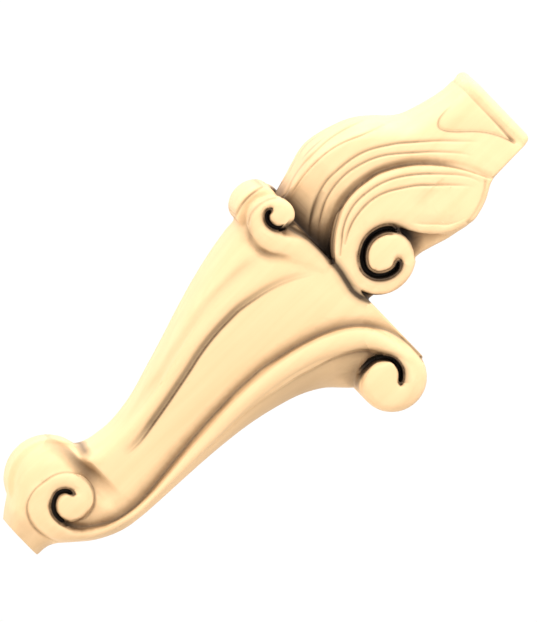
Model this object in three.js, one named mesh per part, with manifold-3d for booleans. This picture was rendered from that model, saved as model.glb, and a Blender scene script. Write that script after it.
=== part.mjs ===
// A carved wooden corbel bracket, in millimetres, +Z up, with the middle of its flat top face at the origin.
// It is one carved block: a scrolled bracket with a flat shoulder, and above the shoulder a fluted leaf
// that curls into a volute and rises to a square cap. The front faces -Y, and the two sides are alike.
import * as THREE from "three";
import { mergeVertices } from "three/addons/utils/BufferGeometryUtils.js";
import Module from "manifold-3d";

// Driving dimensions.
const height = 404; // from the cap's top face to the sole of the foot
const width = 66; // across the two sunk side panels at the shoulder
const capSide = 53;
const capThickness = 9;
const capRounding = 2;
const ribRelief = 7; // how far the long side rib stands off the panel
const voluteRelief = 9; // how far the big scrolls stand off the panel
const smallScrollRelief = 5;
const bandRelief = 6; // the upper volute's band above the leaf
const leafRelief = 2.5; // the leaf's flutes above the neck
const fluteDepth = 0.8;
const pocketDepth = 2; // the sunk triangle under the cap
const shoulderRounding = 2.5;
const strapHalfWidth = 11; // the strap round the middle of the foot's roll
const strapRelief = 2;
const frontBulge = 20.5; // half the width of the bulge in the middle of the front roll
const grooveWall = 2; // how far in front of its groove the ridge starts to fall
const grooveFloor = 1;
const grooveLip = 0.3;
const ridgeRise = 1.5;
const rollRim = 1.5; // the rolls' rounded ends

// The carving was drawn at full size for a bracket 404 high, so its lines are shares of the height.
// The drawing's level 0 lies a little under the cap's top face.
const drawnTop = 3;
const sole = -401;
const shoulder = -140.5; // the flat ledge behind the leaf
const leafFoot = shoulder - 1.5; // the leaf starts just inside the block below
const scale = height / (drawnTop - sole);
const capTop = drawnTop * scale;
const capUnderside = capTop - capThickness;
const halfPanel = width / 2;
const capHalf = capSide / 2;
const neckReveal = 1.5; // the cap stands out this far past the neck
const neckHalf = capHalf - neckReveal;
const shoulderLevel = shoulder * scale;

// How finely the curved surfaces are cut into flats.
const crownSteps = 4;
const wheelSides = 16;
const rimSteps = 3;
const rollSides = 22;
const ridgeStations = [0.3, 0.65]; // shares of the way from the front shoulder to the groove
const panelStations = [0.35, 0.7]; // and from the groove to the back shoulder
const leafStations = [0.3, 0.7];
const bracketRuns = [[sole, -330, 12], [-330, -190, 9], [-190, shoulder - shoulderRounding, 5]];
const leafRuns = [[leafFoot, -100, 7], [-100, -30, 11], [-30, -2, 3]];
const flatTopShares = [1, 0.3, 0]; // rings down the softened edge of the flat ledge

// How square the rounded faces are: 2 is an ellipse, and more is squarer.
const frontBluntness = 2.2;
const neckBluntness = 2.4;
const bracketBackBluntness = 2;

// A smooth line through [level, value] keys, held level past both ends.
function lineThrough(drawnKeys) {
  const keys = [...drawnKeys].sort((a, b) => b[0] - a[0]);
  const levels = keys.map((key) => key[0] * scale);
  const values = keys.map((key) => key[1]);
  const last = keys.length - 1;
  const slope = (i) => {
    const before = Math.max(0, i - 1);
    const after = Math.min(last, i + 1);
    return (values[after] - values[before]) / (levels[after] - levels[before]);
  };
  return (level) => {
    if (level >= levels[0]) return values[0];
    if (level <= levels[last]) return values[last];
    const i = levels.findIndex((edge) => edge <= level) - 1;
    const span = levels[i + 1] - levels[i];
    const t = (level - levels[i]) / span;
    const t2 = t * t;
    const t3 = t2 * t;
    return (
      (2 * t3 - 3 * t2 + 1) * values[i] +
      (t3 - 2 * t2 + t) * span * slope(i) +
      (3 * t2 - 2 * t3) * values[i + 1] +
      (t3 - t2) * span * slope(i + 1)
    );
  };
}

// The same for a line whose values are drawn lengths too, so that they grow with the bracket.
const drawnLine = (keys) => lineThrough(keys.map(([level, value]) => [level, value * scale]));

// The bracket below the shoulder, seen from the side.
const bracketFront = drawnLine([
  [shoulder, -62], [-150, -66.5], [-160, -64], [-168, -61.8], [-175, -61], [-190, -58],
  [-210, -52.6], [-230, -46.2], [-250, -39], [-270, -33], [-290, -26.8], [-310, -24],
  [-322, -25.2], [-329, -26.7], [-334, -29], [-338, -33], [-342, -41], [-347, -48],
  [-355, -51.5], [-363, -52.3], [-370, -50.5], [-377, -46.5], [-383, -41], [-390, -35.5],
  [-396, -31], [sole, -26.5],
]);
const bracketBack = drawnLine([
  [shoulder, 80], [-150, 79], [-165, 77.5], [-178, 72], [-186, 65.6], [-191, 60.6], [-198, 53.6],
  [-206, 48.6], [-215, 44.5], [-229, 40.4], [-243, 37.2], [-257, 35], [-280, 33], [-300, 32], [-325, 31],
  [-340, 30], [-350, 28.5], [-360, 25], [-370, 19.5], [-378, 13], [-384, 8], [-388, 4.8],
  [-393, 2.6], [sole, 2.4],
]);
const frontShoulder = drawnLine([
  [shoulder, -58], [-150, -60], [-158, -55], [-168, -46.5], [-178, -43.5], [-190, -43],
  [-205, -41.5], [-220, -39], [-230, -37], [-250, -32], [-270, -24], [-290, -18.5], [-310, -15],
  [-325, -14.5], [-334, -18], [-341, -24.5], [-350, -29], [-360, -34], [-370, -35], [-380, -32],
  [-390, -26], [sole, -21],
]);
const groove = drawnLine([
  [shoulder, -11], [-158, -15], [-165, -18], [-175, -21.5], [-185, -24.5], [-195, -26.5], [-210, -27.5],
  [-225, -26.5], [-240, -24.5], [-255, -21.5], [-270, -18.5], [-285, -15], [-300, -12.5], [-312, -11],
  [-345, -15.5], [sole, -21.5],
]);
const backShoulder = drawnLine([
  [shoulder, 76], [-150, 68], [-160, 50], [-170, 42], [-180, 36], [-192, 30.5], [-206, 26.5],
  [-222, 24.5], [-240, 23], [-262, 22.5], [-300, 22], [-330, 21.5], [-345, 19.5], [-356, 15.5], [-367, 9],
  [-378, 1], [-386, -7], [sole, -10],
]);

// Half widths of the bracket, as shares of the panel's half width at the shoulder.
const panelShare = lineThrough([
  [shoulder, 1], [-190, 1], [-240, 0.89], [-280, 0.81], [-310, 0.8], [-335, 0.83], [-367, 0.85],
  [-388, 0.75], [sole, 0.66],
]);
const shoulderShare = lineThrough([
  [shoulder, 0.95], [-150, 0.97], [-165, 1.06], [-200, 1.07], [-250, 0.97], [-300, 0.87],
  [-325, 0.83], [-334, 0.79], [-340, 0.66], [-345, 0.67], [-351, 0.82], [-360, 0.86], [-375, 0.86],
  [-388, 0.78], [sole, 0.72],
]);
// The ridge beside the groove rises over this stretch and dies away at both ends.
const ridgeShare = lineThrough([
  [-150, 0], [-160, 0], [-178, 1], [-295, 1], [-316, 0], [sole, 0],
]);
// The foot's roll is a little slimmer beside its strap.
const strapShare = lineThrough([
  [shoulder, 0], [-340, 0], [-349, 1], [-380, 1], [-385, 0], [sole, 0],
]);
const halfPanelAt = (level) => halfPanel * panelShare(level);

// The leaf and neck above the shoulder, seen from the side.
const leafFront = drawnLine([
  [0, -27.3], [-15, -27.7], [-25, -29.7], [-35, -32.5], [-44, -35.8], [-50, -40], [-60, -50.2],
  [-70, -57], [-80, -60.5], [-90, -63], [-100, -64.2], [-107, -63.4], [-115, -60.8], [-125, -58],
  [-135, -56], [leafFoot, -55],
]);
const leafShoulder = drawnLine([
  [0, -25], [-20, -25], [-40, -27], [-50, -30], [-60, -38], [-70, -47], [-80, -54], [-90, -57.5],
  [-100, -59], [-115, -57.5], [-125, -55], [leafFoot, -51],
]);
const leafBackShoulder = drawnLine([
  [0, 25.2], [-20, 25.5], [-32, 26], [-43, 29], [-50, 32.6], [-58, 35.2], [-62, 33.2],
  [-70, 28.6], [-78, 21.5], [-90, 15], [-98, 12], [-125, 14], [-136, 21], [leafFoot, 24],
]);
const leafBack = drawnLine([
  [0, 27.6], [-15, 28.2], [-30, 29.2], [-34, 30.2], [-43, 36.2], [-50, 38.6], [-58, 39.8],
  [-64, 40], [-70, 39.2], [-78, 38.2], [-90, 34.8], [-98, 33], [-110, 33], [-120, 33],
  [-130, 33], [-136, 32], [leafFoot, 31],
]);
const leafHalfShare = lineThrough([
  [0, 1], [-20, 1.02], [-40, 1.08], [-60, 1.16], [-100, 1.2], [-108, 1.14], [-116, 1.04],
  [-126, 0.86], [leafFoot, 0.68],
]);
const bandFootShare = 1.12; // the band leaves the leaf at the leaf's widest
const leafHalfAt = (level) => neckHalf * leafHalfShare(level);

// Fine grooves on the front flank of the leaf, in degrees round from its middle.
const flankGrooves = [55, 72];
const flankAngles = [0, 20, 40, ...flankGrooves.flatMap((at) => [at - 6, at]), 82, 90];
const flankGrooveShare = lineThrough([[-50, 0], [-68, 1], [leafFoot, 1]]);

// Where the scrolls turn, seen from the side: centre, and the eye that ends each one.
const footTurn = { y: -17.5, z: -367.5 };
const backTurn = { y: 73, z: -163.5 };
const smallTurn = { y: -53.5, z: -147.5 };
const leafTurn = { y: 11, z: -116.5 };
// Each roll swells a little from its ends to its middle.
const footStrap = { y: -26.5, z: -363, endRadius: 25, swell: 2.3 };
const backRoll = { ...backTurn, endRadius: 21.8, swell: 0.3 };
const leafRoll = { y: 11.8, z: -117.5, endRadius: 24.4, swell: 0.6 };
const frontRoll = { y: -55.5, z: -150.5, endRadius: 12, swell: 0.3 };
const frontBulgeRoll = { y: -61, z: -150.6, endRadius: 12.8, swell: 1.2 };
const footEye = { y: -10.5, z: -363, radius: 9.5 };
const backEye = { y: 70.5, z: -170, radius: 13 };
const smallEye = { y: -52, z: -142.5, radius: 7.5 };
const leafEye = { y: 13, z: -111, radius: 13 };

// Pairs of drawn points on the two edges of a band while it turns round a centre.
function turn(centre, from, to, count) {
  return Array.from({ length: count }, (_, i) => {
    const share = i / (count - 1);
    const mix = (key) => THREE.MathUtils.lerp(from[key], to[key], share);
    const angle = THREE.MathUtils.degToRad(mix("angle"));
    const edge = (radius) => [
      centre.y + radius * Math.cos(angle),
      centre.z + radius * Math.sin(angle),
    ];
    return [edge(mix("radius") + mix("half")), edge(mix("radius") - mix("half"))];
  });
}

// The rib's back scroll ends a step inside the back roll's rim, however deep its inner edge lies.
const ribRimStep = 0.3;
function backScroll(angle, innerRadius) {
  const rim = backRoll.endRadius - ribRimStep;
  return { angle, radius: (rim + innerRadius) / 2, half: (innerRadius - rim) / 2 };
}

// Each band is a list of pairs, back edge first: the long rib with a scroll at each end,
const ribEdges = [
  ...turn(footTurn, { angle: 30, radius: 13, half: 6 }, { angle: 81, radius: 16.2, half: 5.6 }, 3),
  ...turn(footTurn, { angle: 105, radius: 15.4, half: 5.2 }, { angle: 175, radius: 12.4, half: 5.2 }, 4),
  ...turn(footTurn, { angle: 200, radius: 12.6, half: 6 }, { angle: 285, radius: 15.6, half: 7.2 }, 5),
  [[-0.5, -385.5], [0.5, -370.5]],
  [[15, -367], [10.5, -358]],
  [[23, -343], [16, -340]],
  [[24, -325], [16, -325]],
  [[24.5, -285], [12, -285]],
  [[23.5, -240], [9, -240]],
  [[27.5, -206], [12, -205]],
  [[36.5, -180], [20, -174]],
  [[51, -161], [36.5, -152.5]],
  ...turn(backTurn, backScroll(115, 8.5), backScroll(10, 3.7), 6),
  ...turn(backTurn, backScroll(-12, 4.5), backScroll(-110, 6.5), 5),
];
// the small scroll that turns up at the front of the shoulder,
const smallScrollEdges = [
  [[-6, -149], [-6, -141.5]],
  [[-20, -156], [-20, -141.5]],
  [[-29, -162], [-29, -141.5]],
  [[-37, -166], [-38, -144.5]],
  [[-45, -167], [-43.5, -149]],
  ...turn(smallTurn, { angle: 268, radius: 12, half: 6.5 }, { angle: 190, radius: 9.8, half: 3.6 }, 4),
  ...turn(smallTurn, { angle: 168, radius: 9.6, half: 3.4 }, { angle: 110, radius: 9.3, half: 3.6 }, 3),
];
// the leaf's flutes, which sweep forward and down from the neck,
const leafEdges = [
  [[-24, -8], [22, -22]],
  [[-24, -24], [20, -32]],
  [[-26, -40], [9, -40]],
  [[-31, -53], [-6, -52]],
  [[-43, -67], [-18.5, -66]],
  [[-54, -83], [-27, -81]],
  [[-58, -100], [-30.5, -97]],
  [[-56.5, -117], [-28, -112.5]],
  [[-53.5, -130], [-18.5, -129]],
  [[-50, -142], [-6.5, -142]],
];
// and the band that swings back round the flutes into the upper volute.
const bandEdges = [
  [[24.5, -33.5], [34, -60]],
  [[8, -40], [29, -73]],
  [[-7, -52], [19, -84.5]],
  [[-19.5, -66], [8, -92.5]],
  [[-27.5, -81], [1.5, -99.5]],
  [[-31, -97], [-1, -107.5]],
  [[-29, -111], [-1, -115.5]],
  [[-22.5, -125], [3, -122.5]],
  ...turn(leafTurn, { angle: 228, radius: 22, half: 8.2 }, { angle: 285, radius: 19, half: 5 }, 3),
  ...turn(leafTurn, { angle: 307, radius: 19, half: 4.8 }, { angle: 388, radius: 18.6, half: 4.6 }, 5),
  ...turn(leafTurn, { angle: 408, radius: 15.8, half: 7.2 }, { angle: 450, radius: 13.7, half: 7.7 }, 3),
];

// Cross-sections of the bands: share of the way across, share of the relief.
const roundSection = [
  [0, 0], [0.06, 0.48], [0.24, 0.86], [0.5, 1], [0.76, 0.86], [0.94, 0.48], [1, 0],
];
const leafSection = [
  [0, 0.1], [0.1, 0.75], [0.24, 1], [0.4, 0.85], [0.45, 0.5], [0.5, 0.8], [0.58, 0.85],
  [0.635, 0.45], [0.69, 0.7], [0.8, 0.45], [0.92, -0.7], [1, -1.6],
];
const bandSection = [
  [0, 0], [0.025, 0.55], [0.11, 0.82], [0.21, 0.82], [0.235, 0.74], [0.27, 0.88], [0.4, 0.92],
  [0.43, 0.84], [0.48, 0.96], [0.66, 1], [0.85, 0.84], [0.97, 0.6], [1, 0],
];

// The sunk triangle on the neck, under the cap.
const pocketOutline = [
  [-22.5, -24], [-22.5, -30], [-20.5, -34], [-16.5, -33], [-10.5, -28], [-5.5, -22.5], [0, -17.5],
  [5, -13.5], [10, -10.5], [18, -7.6],
];
const pocketLeft = -22.5;
const pocketRight = 18.5;
const pocketGap = 0.5; // left standing under the cap
const pocketCornerDrop = 0.2; // the outline's ends lie this far under its top edge
const pocketSteps = 16;

const wasm = await Module();
wasm.setup();

// A three.js geometry as a solid that can be joined and cut.
function solidOf(geometry) {
  const bare = geometry.index ? geometry.toNonIndexed() : geometry.clone();
  for (const name of Object.keys(bare.attributes)) if (name !== "position") bare.deleteAttribute(name);
  const merged = mergeVertices(bare, 1e-4);
  return new wasm.Manifold(
    new wasm.Mesh({
      numProp: 3,
      vertProperties: merged.attributes.position.array,
      triVerts: new Uint32Array(merged.index.array),
    }),
  );
}

// The other side's copy of a geometry, with its faces turned to point outwards again.
function mirrored(geometry) {
  const copy = (geometry.index ? geometry.toNonIndexed() : geometry.clone()).scale(-1, 1, 1);
  const position = copy.attributes.position;
  const a = new THREE.Vector3();
  const b = new THREE.Vector3();
  for (let i = 0; i < position.count; i += 3) {
    a.fromBufferAttribute(position, i + 1);
    b.fromBufferAttribute(position, i + 2);
    position.setXYZ(i + 1, b.x, b.y, b.z);
    position.setXYZ(i + 2, a.x, a.y, a.z);
  }
  return copy;
}

const onBothSides = (geometry) => [geometry, mirrored(geometry)].map(solidOf);

// A closed skin over rings of points that all have the same count, with a fan over each end ring.
function skin(rings) {
  const count = rings[0].length;
  const corners = [];
  const middle = (ring) =>
    ring.reduce((sum, p) => sum.add(p), new THREE.Vector3()).divideScalar(count);
  const triangle = (...points) => points.forEach((p) => corners.push(p.x, p.y, p.z));
  for (let i = 0; i + 1 < rings.length; i++) {
    for (let j = 0; j < count; j++) {
      const next = (j + 1) % count;
      triangle(rings[i][j], rings[i][next], rings[i + 1][next]);
      triangle(rings[i][j], rings[i + 1][next], rings[i + 1][j]);
    }
  }
  for (const [ring, flip] of [[rings[0], true], [rings.at(-1), false]]) {
    const centre = middle(ring);
    for (let j = 0; j < count; j++) {
      const next = (j + 1) % count;
      if (flip) triangle(centre, ring[next], ring[j]);
      else triangle(centre, ring[j], ring[next]);
    }
  }
  return new THREE.BufferGeometry().setAttribute(
    "position",
    new THREE.Float32BufferAttribute(corners, 3),
  );
}

// Half an outline, front to back, made into a whole ring at a level.
function ringAt(level, half) {
  const near = half.map(([x, y]) => new THREE.Vector3(x, y, level));
  const far = half.slice(1, -1).map(([x, y]) => new THREE.Vector3(-x, y, level));
  return [...near, ...far.reverse()];
}

// A rounded face from the middle line out to a shoulder.
function crown(middleY, shoulderX, shoulderY, bluntness, angles) {
  return angles.map((degrees) => {
    const angle = THREE.MathUtils.degToRad(degrees);
    return [
      shoulderX * Math.max(0, Math.sin(angle)) ** (2 / bluntness),
      shoulderY + (middleY - shoulderY) * Math.max(0, Math.cos(angle)) ** (2 / bluntness),
    ];
  });
}
const crownAngles = Array.from({ length: crownSteps + 1 }, (_, i) => (90 * i) / crownSteps);

// One level of the bracket: front crown, ridge, groove, sunk panel and back crown.
function bracketHalf(level) {
  const panel = halfPanelAt(level);
  const front = halfPanel * shoulderShare(level);
  const ridge = ridgeShare(level);
  const shoulderY = frontShoulder(level);
  const grooveY = groove(level);
  const backY = backShoulder(level);
  const frontY = bracketFront(level) + strapRelief * strapShare(level);
  const ridgeTop = THREE.MathUtils.lerp(panel, front, ridge);
  const points = crown(frontY, front, shoulderY, frontBluntness, crownAngles);
  for (const share of ridgeStations) {
    points.push([
      THREE.MathUtils.lerp(front, ridgeTop, share) + ridgeRise * ridge * Math.sin(Math.PI * share),
      THREE.MathUtils.lerp(shoulderY, grooveY, share),
    ]);
  }
  points.push([ridgeTop, grooveY - grooveWall]);
  points.push([panel + grooveLip * ridge, grooveY]);
  points.push([panel, grooveY + grooveFloor]);
  for (const share of panelStations) points.push([panel, THREE.MathUtils.lerp(grooveY, backY, share)]);
  const back = crown(bracketBack(level), panel, backY, bracketBackBluntness, [...crownAngles].reverse());
  return [...points, ...back];
}

// The levels of the rings, evenly spaced over each [from, to, count] run of the drawing.
function levels(runs) {
  const found = runs.flatMap(([from, to, count]) =>
    Array.from({ length: count }, (_, i) => THREE.MathUtils.lerp(from, to, i / count)),
  );
  return found.map((level) => level * scale);
}

// The shoulder's rounding takes less off the front edge than off the sides.
const frontInsetShare = 0.5;
function bracket() {
  const rings = levels(bracketRuns).map((level) => ringAt(level, bracketHalf(level)));
  for (const share of flatTopShares) {
    const inset = shoulderRounding * (1 - share) ** 2;
    const level = shoulderLevel - shoulderRounding * share;
    const half = bracketHalf(level).map(([x, y]) => [
      Math.max(0, x - (x > 0 ? inset : 0)),
      y < 0 ? y + inset * frontInsetShare : y,
    ]);
    rings.push(ringAt(level, half));
  }
  return skin(rings);
}

// One level of the leaf: fluted front flank, side and back.
function leafHalf(level) {
  const half = leafHalfAt(level);
  const front = crown(leafFront(level), half, leafShoulder(level), frontBluntness, flankAngles);
  const depth = (fluteDepth * flankGrooveShare(level)) / Math.SQRT2;
  const fluted = front.map(([x, y], i) =>
    flankGrooves.includes(flankAngles[i]) ? [x - depth, y + depth] : [x, y],
  );
  const side = leafStations.map((share) => [
    half,
    THREE.MathUtils.lerp(leafShoulder(level), leafBackShoulder(level), share),
  ]);
  const backAngles = [...crownAngles].reverse();
  const back = crown(leafBack(level), half, leafBackShoulder(level), neckBluntness, backAngles);
  return [...fluted, ...side, ...back];
}

function leaf() {
  const rings = levels(leafRuns).map((level) => ringAt(level, leafHalf(level)));
  const top = capTop - capThickness / 2;
  rings.push(ringAt(top, leafHalf(top)));
  return skin(rings);
}

// A carved band: its two edges seen from the side, the height of its foot, its relief and its section.
function band(edges, footAt, reliefAt, section, rootX) {
  const rail = (side) =>
    new THREE.CatmullRomCurve3(
      edges.map((pair) => new THREE.Vector3(0, pair[side][0] * scale, pair[side][1] * scale)),
      false,
      "centripetal",
    );
  const rails = [rail(0), rail(1)];
  const steps = edges.length - 1;
  const rings = [];
  for (let i = 0; i <= steps; i++) {
    const t = i / steps;
    const [outer, inner] = rails.map((curve) => curve.getPoint(t));
    const ring = section.map(([across, rise]) => {
      const point = outer.clone().lerp(inner, across);
      point.x = footAt(point, t) + reliefAt(t) * rise;
      return point;
    });
    const root = [inner, outer].map((edge) => edge.clone().setX(rootX));
    rings.push([...ring, ...root]);
  }
  const made = skin(rings);
  return solidOf(made).volume() < 0 ? mirrored(made).scale(-1, 1, 1) : made;
}

// The eye of a scroll: a round button with a softened rim and a slightly domed face, along X.
const eyeRimShare = 0.45;
const eyeDome = 1.4;
function eye({ y, z, radius }, innerX, outerX) {
  const rim = Math.min(eyeRimShare * radius, (outerX - innerX) / 2);
  const reach = radius * scale;
  const profile = [new THREE.Vector2(0, innerX), new THREE.Vector2(reach, innerX)];
  for (let i = 0; i <= rimSteps; i++) {
    const angle = (Math.PI / 2) * (i / rimSteps);
    profile.push(
      new THREE.Vector2(reach - rim + rim * Math.cos(angle), outerX - eyeDome * rim + rim * Math.sin(angle)),
    );
  }
  profile.push(new THREE.Vector2(0, outerX));
  return new THREE.LatheGeometry(profile, wheelSides)
    .rotateZ(-Math.PI / 2)
    .translate(0, y * scale, z * scale);
}

// A roll between the two sides, along X, a little fuller in its middle and rounded at its ends.
const rollStations = [-1, 0, 1];
function roll({ y, z, endRadius, swell }, half) {
  const profile = [new THREE.Vector2(0, -half), new THREE.Vector2((endRadius - rollRim) * scale, -half)];
  for (const share of rollStations) {
    const radius = endRadius + swell * (1 - share * share);
    profile.push(new THREE.Vector2(radius * scale, (half - rollRim) * share));
  }
  profile.push(new THREE.Vector2((endRadius - rollRim) * scale, half), new THREE.Vector2(0, half));
  return new THREE.LatheGeometry(profile, rollSides)
    .rotateZ(-Math.PI / 2)
    .translate(0, y * scale, z * scale);
}

const capBevelShare = 0.6;
function cap() {
  const outline = new THREE.Shape();
  const flat = capHalf - capRounding;
  outline.absarc(flat, flat, capRounding, 0, Math.PI / 2);
  outline.absarc(-flat, flat, capRounding, Math.PI / 2, Math.PI);
  outline.absarc(-flat, -flat, capRounding, Math.PI, 1.5 * Math.PI);
  outline.absarc(flat, -flat, capRounding, 1.5 * Math.PI, 2 * Math.PI);
  const bevel = capRounding * capBevelShare;
  return new THREE.ExtrudeGeometry(outline, {
    depth: capThickness - 2 * bevel,
    bevelThickness: bevel,
    bevelSize: bevel,
    bevelOffset: -bevel,
    bevelSegments: 2,
    curveSegments: 3,
  }).translate(0, 0, bevel + capUnderside);
}

function pocket() {
  const outline = new THREE.Shape();
  const top = capUnderside - pocketGap;
  outline.moveTo(pocketLeft * scale, top);
  const run = new THREE.SplineCurve(
    pocketOutline.map(([y, z]) => new THREE.Vector2(y * scale, Math.min(z * scale, top))),
  );
  for (const point of run.getPoints(pocketSteps)) {
    outline.lineTo(point.x, Math.min(point.y, top - pocketCornerDrop));
  }
  outline.lineTo(pocketRight * scale, top);
  const floor = neckHalf - pocketDepth;
  return new THREE.ExtrudeGeometry(outline, { depth: pocketDepth + leafRelief + 1, bevelEnabled: false })
    .rotateX(Math.PI / 2)
    .rotateZ(Math.PI / 2)
    .translate(floor, 0, 0);
}

// The foot of a band lies just under the surface that it rises from, and its root well inside the block.
const panelSink = 0.6;
const leafSink = 1;
const onPanel = (point) => halfPanelAt(point.z) - panelSink;
const onLeaf = (point) => leafHalfAt(point.z) - leafSink;
const bandFoot = neckHalf * bandFootShare;
const panelRoot = halfPanel * 0.5;
const leafRoot = neckHalf * 0.3;

// A band's relief at points along it, eased between [share, relief] keys.
function reliefKeys(keys) {
  return (t) => {
    const i = Math.max(1, keys.findIndex(([share]) => share >= t));
    const [before, after] = [keys[i - 1], keys[i]];
    return THREE.MathUtils.lerp(before[1], after[1], (t - before[0]) / (after[0] - before[0]));
  };
}
const ribRise = reliefKeys([
  [0, voluteRelief], [0.4, voluteRelief * 0.9], [0.55, ribRelief], [0.8, ribRelief],
  [0.92, voluteRelief], [1, voluteRelief],
]);
const smallRise = reliefKeys([[0, 0.5], [0.3, smallScrollRelief], [1, smallScrollRelief]]);
const leafRise = reliefKeys([[0, -1], [0.12, 0], [0.35, leafRelief], [1, leafRelief]]);
const bandRise = reliefKeys([
  [0, -1], [0.05, 1.5], [0.12, bandRelief * 0.5], [0.3, bandRelief], [1, bandRelief],
]);

const pieces = [
  solidOf(bracket()),
  solidOf(leaf()),
  solidOf(cap()),
  solidOf(roll(frontRoll, halfPanel)),
  solidOf(roll(frontBulgeRoll, frontBulge)),
  solidOf(roll(footStrap, strapHalfWidth)),
  solidOf(roll(backRoll, halfPanel)),
  solidOf(roll(leafRoll, neckHalf)),
  ...onBothSides(band(ribEdges, onPanel, ribRise, roundSection, panelRoot)),
  ...onBothSides(band(smallScrollEdges, onPanel, smallRise, roundSection, panelRoot)),
  ...onBothSides(band(leafEdges, onLeaf, leafRise, leafSection, leafRoot)),
  ...onBothSides(band(bandEdges, () => bandFoot, bandRise, bandSection, leafRoot)),
  ...onBothSides(eye(footEye, panelRoot, halfPanelAt(footEye.z * scale) + voluteRelief)),
  ...onBothSides(eye(backEye, panelRoot, halfPanelAt(backEye.z * scale) + voluteRelief)),
  ...onBothSides(eye(smallEye, panelRoot, halfPanelAt(smallEye.z * scale) + smallScrollRelief)),
  ...onBothSides(eye(leafEye, leafRoot, bandFoot + bandRelief)),
];
let carved = pieces.reduce((whole, piece) => whole.add(piece));
for (const cutter of onBothSides(pocket())) carved = carved.subtract(cutter);

function geometryOf(solid) {
  const mesh = solid.getMesh();
  const stride = mesh.numProp;
  const positions = new Float32Array(mesh.numVert * 3);
  for (let i = 0; i < mesh.numVert; i++) {
    positions.set(mesh.vertProperties.subarray(i * stride, i * stride + 3), i * 3);
  }
  const geometry = new THREE.BufferGeometry();
  geometry.setAttribute("position", new THREE.BufferAttribute(positions, 3));
  geometry.setIndex(new THREE.BufferAttribute(new Uint32Array(mesh.triVerts), 1));
  geometry.computeVertexNormals();
  return geometry;
}

const paleWood = new THREE.MeshStandardMaterial({ color: 0xecd3a2, roughness: 0.6, metalness: 0 });
const corbel = new THREE.Mesh(geometryOf(carved).translate(0, 0, -capTop), paleWood);
corbel.name = "corbel_bracket";

const group = new THREE.Group();
group.add(corbel);
export default group;
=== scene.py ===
# %% [markdown]
# # A carved wooden corbel bracket
# The bracket is one block of pale limewood. Its lower part is a long scrolled leg with a rounded rib along
# each side, and above the flat shoulder a fluted leaf curls into a volute and rises to a square cap.
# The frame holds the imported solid, and everything here is in metres in that same frame.

# %% Load the frame
import math

import bpy
import numpy as np
from mathutils import Matrix, Vector
from mathutils.bvhtree import BVHTree


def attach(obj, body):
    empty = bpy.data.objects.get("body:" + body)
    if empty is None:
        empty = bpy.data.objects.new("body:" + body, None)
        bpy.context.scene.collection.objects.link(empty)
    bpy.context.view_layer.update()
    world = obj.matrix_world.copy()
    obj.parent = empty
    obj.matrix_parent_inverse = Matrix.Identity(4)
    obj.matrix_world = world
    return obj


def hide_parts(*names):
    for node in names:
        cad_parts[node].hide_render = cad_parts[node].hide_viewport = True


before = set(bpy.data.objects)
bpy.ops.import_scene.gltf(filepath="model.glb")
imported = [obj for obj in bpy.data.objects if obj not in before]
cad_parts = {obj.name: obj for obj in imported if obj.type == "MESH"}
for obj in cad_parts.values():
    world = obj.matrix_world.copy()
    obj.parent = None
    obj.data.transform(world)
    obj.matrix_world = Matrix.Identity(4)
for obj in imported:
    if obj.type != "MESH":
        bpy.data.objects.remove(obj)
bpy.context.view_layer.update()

bpy.ops.object.select_all(action="DESELECT")

# %% [markdown]
# ## Drawing units
# The carving was drawn in millimetres, with level 0 a little under the cap's top face, because that is how a
# carver would lay the lines out on the block. One function takes a drawn point into the frame.

# %% Drawing units
MM = 0.001
CAP_TOP = 3.0
CAP_SIDE = 53.0
CAP_THICKNESS = 9.0
HALF_PANEL = 33.0
HALF_NECK = 25.0
SHOULDER = -140.5
SOLE = -401.0
VIEW_TURN = math.radians(12)  # the side is looked at from a little in front


def to_frame(points):
    """Drawn points, x across, y to the back and z as the level, as metres in the frame."""
    return (np.asarray(points, float) - [0, 0, CAP_TOP]) * MM


def line_through(keys):
    """A smooth line through (level, value) keys, held level past both ends."""
    levels, values = np.array(sorted(keys), float).T
    slopes = np.gradient(values, levels)
    slopes[1:-1] = (values[2:] - values[:-2]) / (levels[2:] - levels[:-2])

    def at(level):
        level = np.clip(level, levels[0], levels[-1])
        i = np.clip(np.searchsorted(levels, level) - 1, 0, len(levels) - 2)
        span = levels[i + 1] - levels[i]
        t = (level - levels[i]) / span
        rise = (3 - 2 * t) * t * t
        return (
            values[i] + rise * (values[i + 1] - values[i])
            + t * (1 - t) * span * ((1 - t) * slopes[i] - t * slopes[i + 1])
        )

    return at


print("height of the drawing:", CAP_TOP - SOLE, "mm")

# %% [markdown]
# ## The block's outlines
# A carver saws the side outline first and rounds the edges after. Each part is described level by level:
# where its front and back middle lines run, where the rounding ends at the sides, and how wide it is.

# %% Outlines of the leg, below the shoulder
leg_front = line_through([
    (-140.5, -62), (-150, -66.5), (-160, -64), (-168, -61.8), (-175, -61), (-190, -58),
    (-210, -52.6), (-230, -46.2), (-250, -39), (-270, -33), (-290, -26.8), (-310, -24),
    (-322, -25.2), (-329, -26.7), (-334, -29), (-338, -33), (-342, -41), (-347, -48),
    (-355, -51.5), (-363, -52.3), (-370, -50.5), (-377, -46.5), (-383, -41), (-390, -35.5),
    (-396, -31), (-401, -26.5),
])
leg_back = line_through([
    (-140.5, 80), (-150, 79), (-165, 77.5), (-178, 72), (-186, 66.4), (-191, 61.4), (-198, 54.4),
    (-206, 49.3), (-215, 45.1), (-229, 40.8), (-243, 37.4), (-257, 35.1), (-280, 33), (-300, 32), (-325, 31),
    (-340, 30), (-350, 28.5), (-360, 25), (-370, 19.5), (-378, 13), (-384, 8), (-388, 4.8),
    (-393, 2.6), (-401, 2.4),
])
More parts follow.
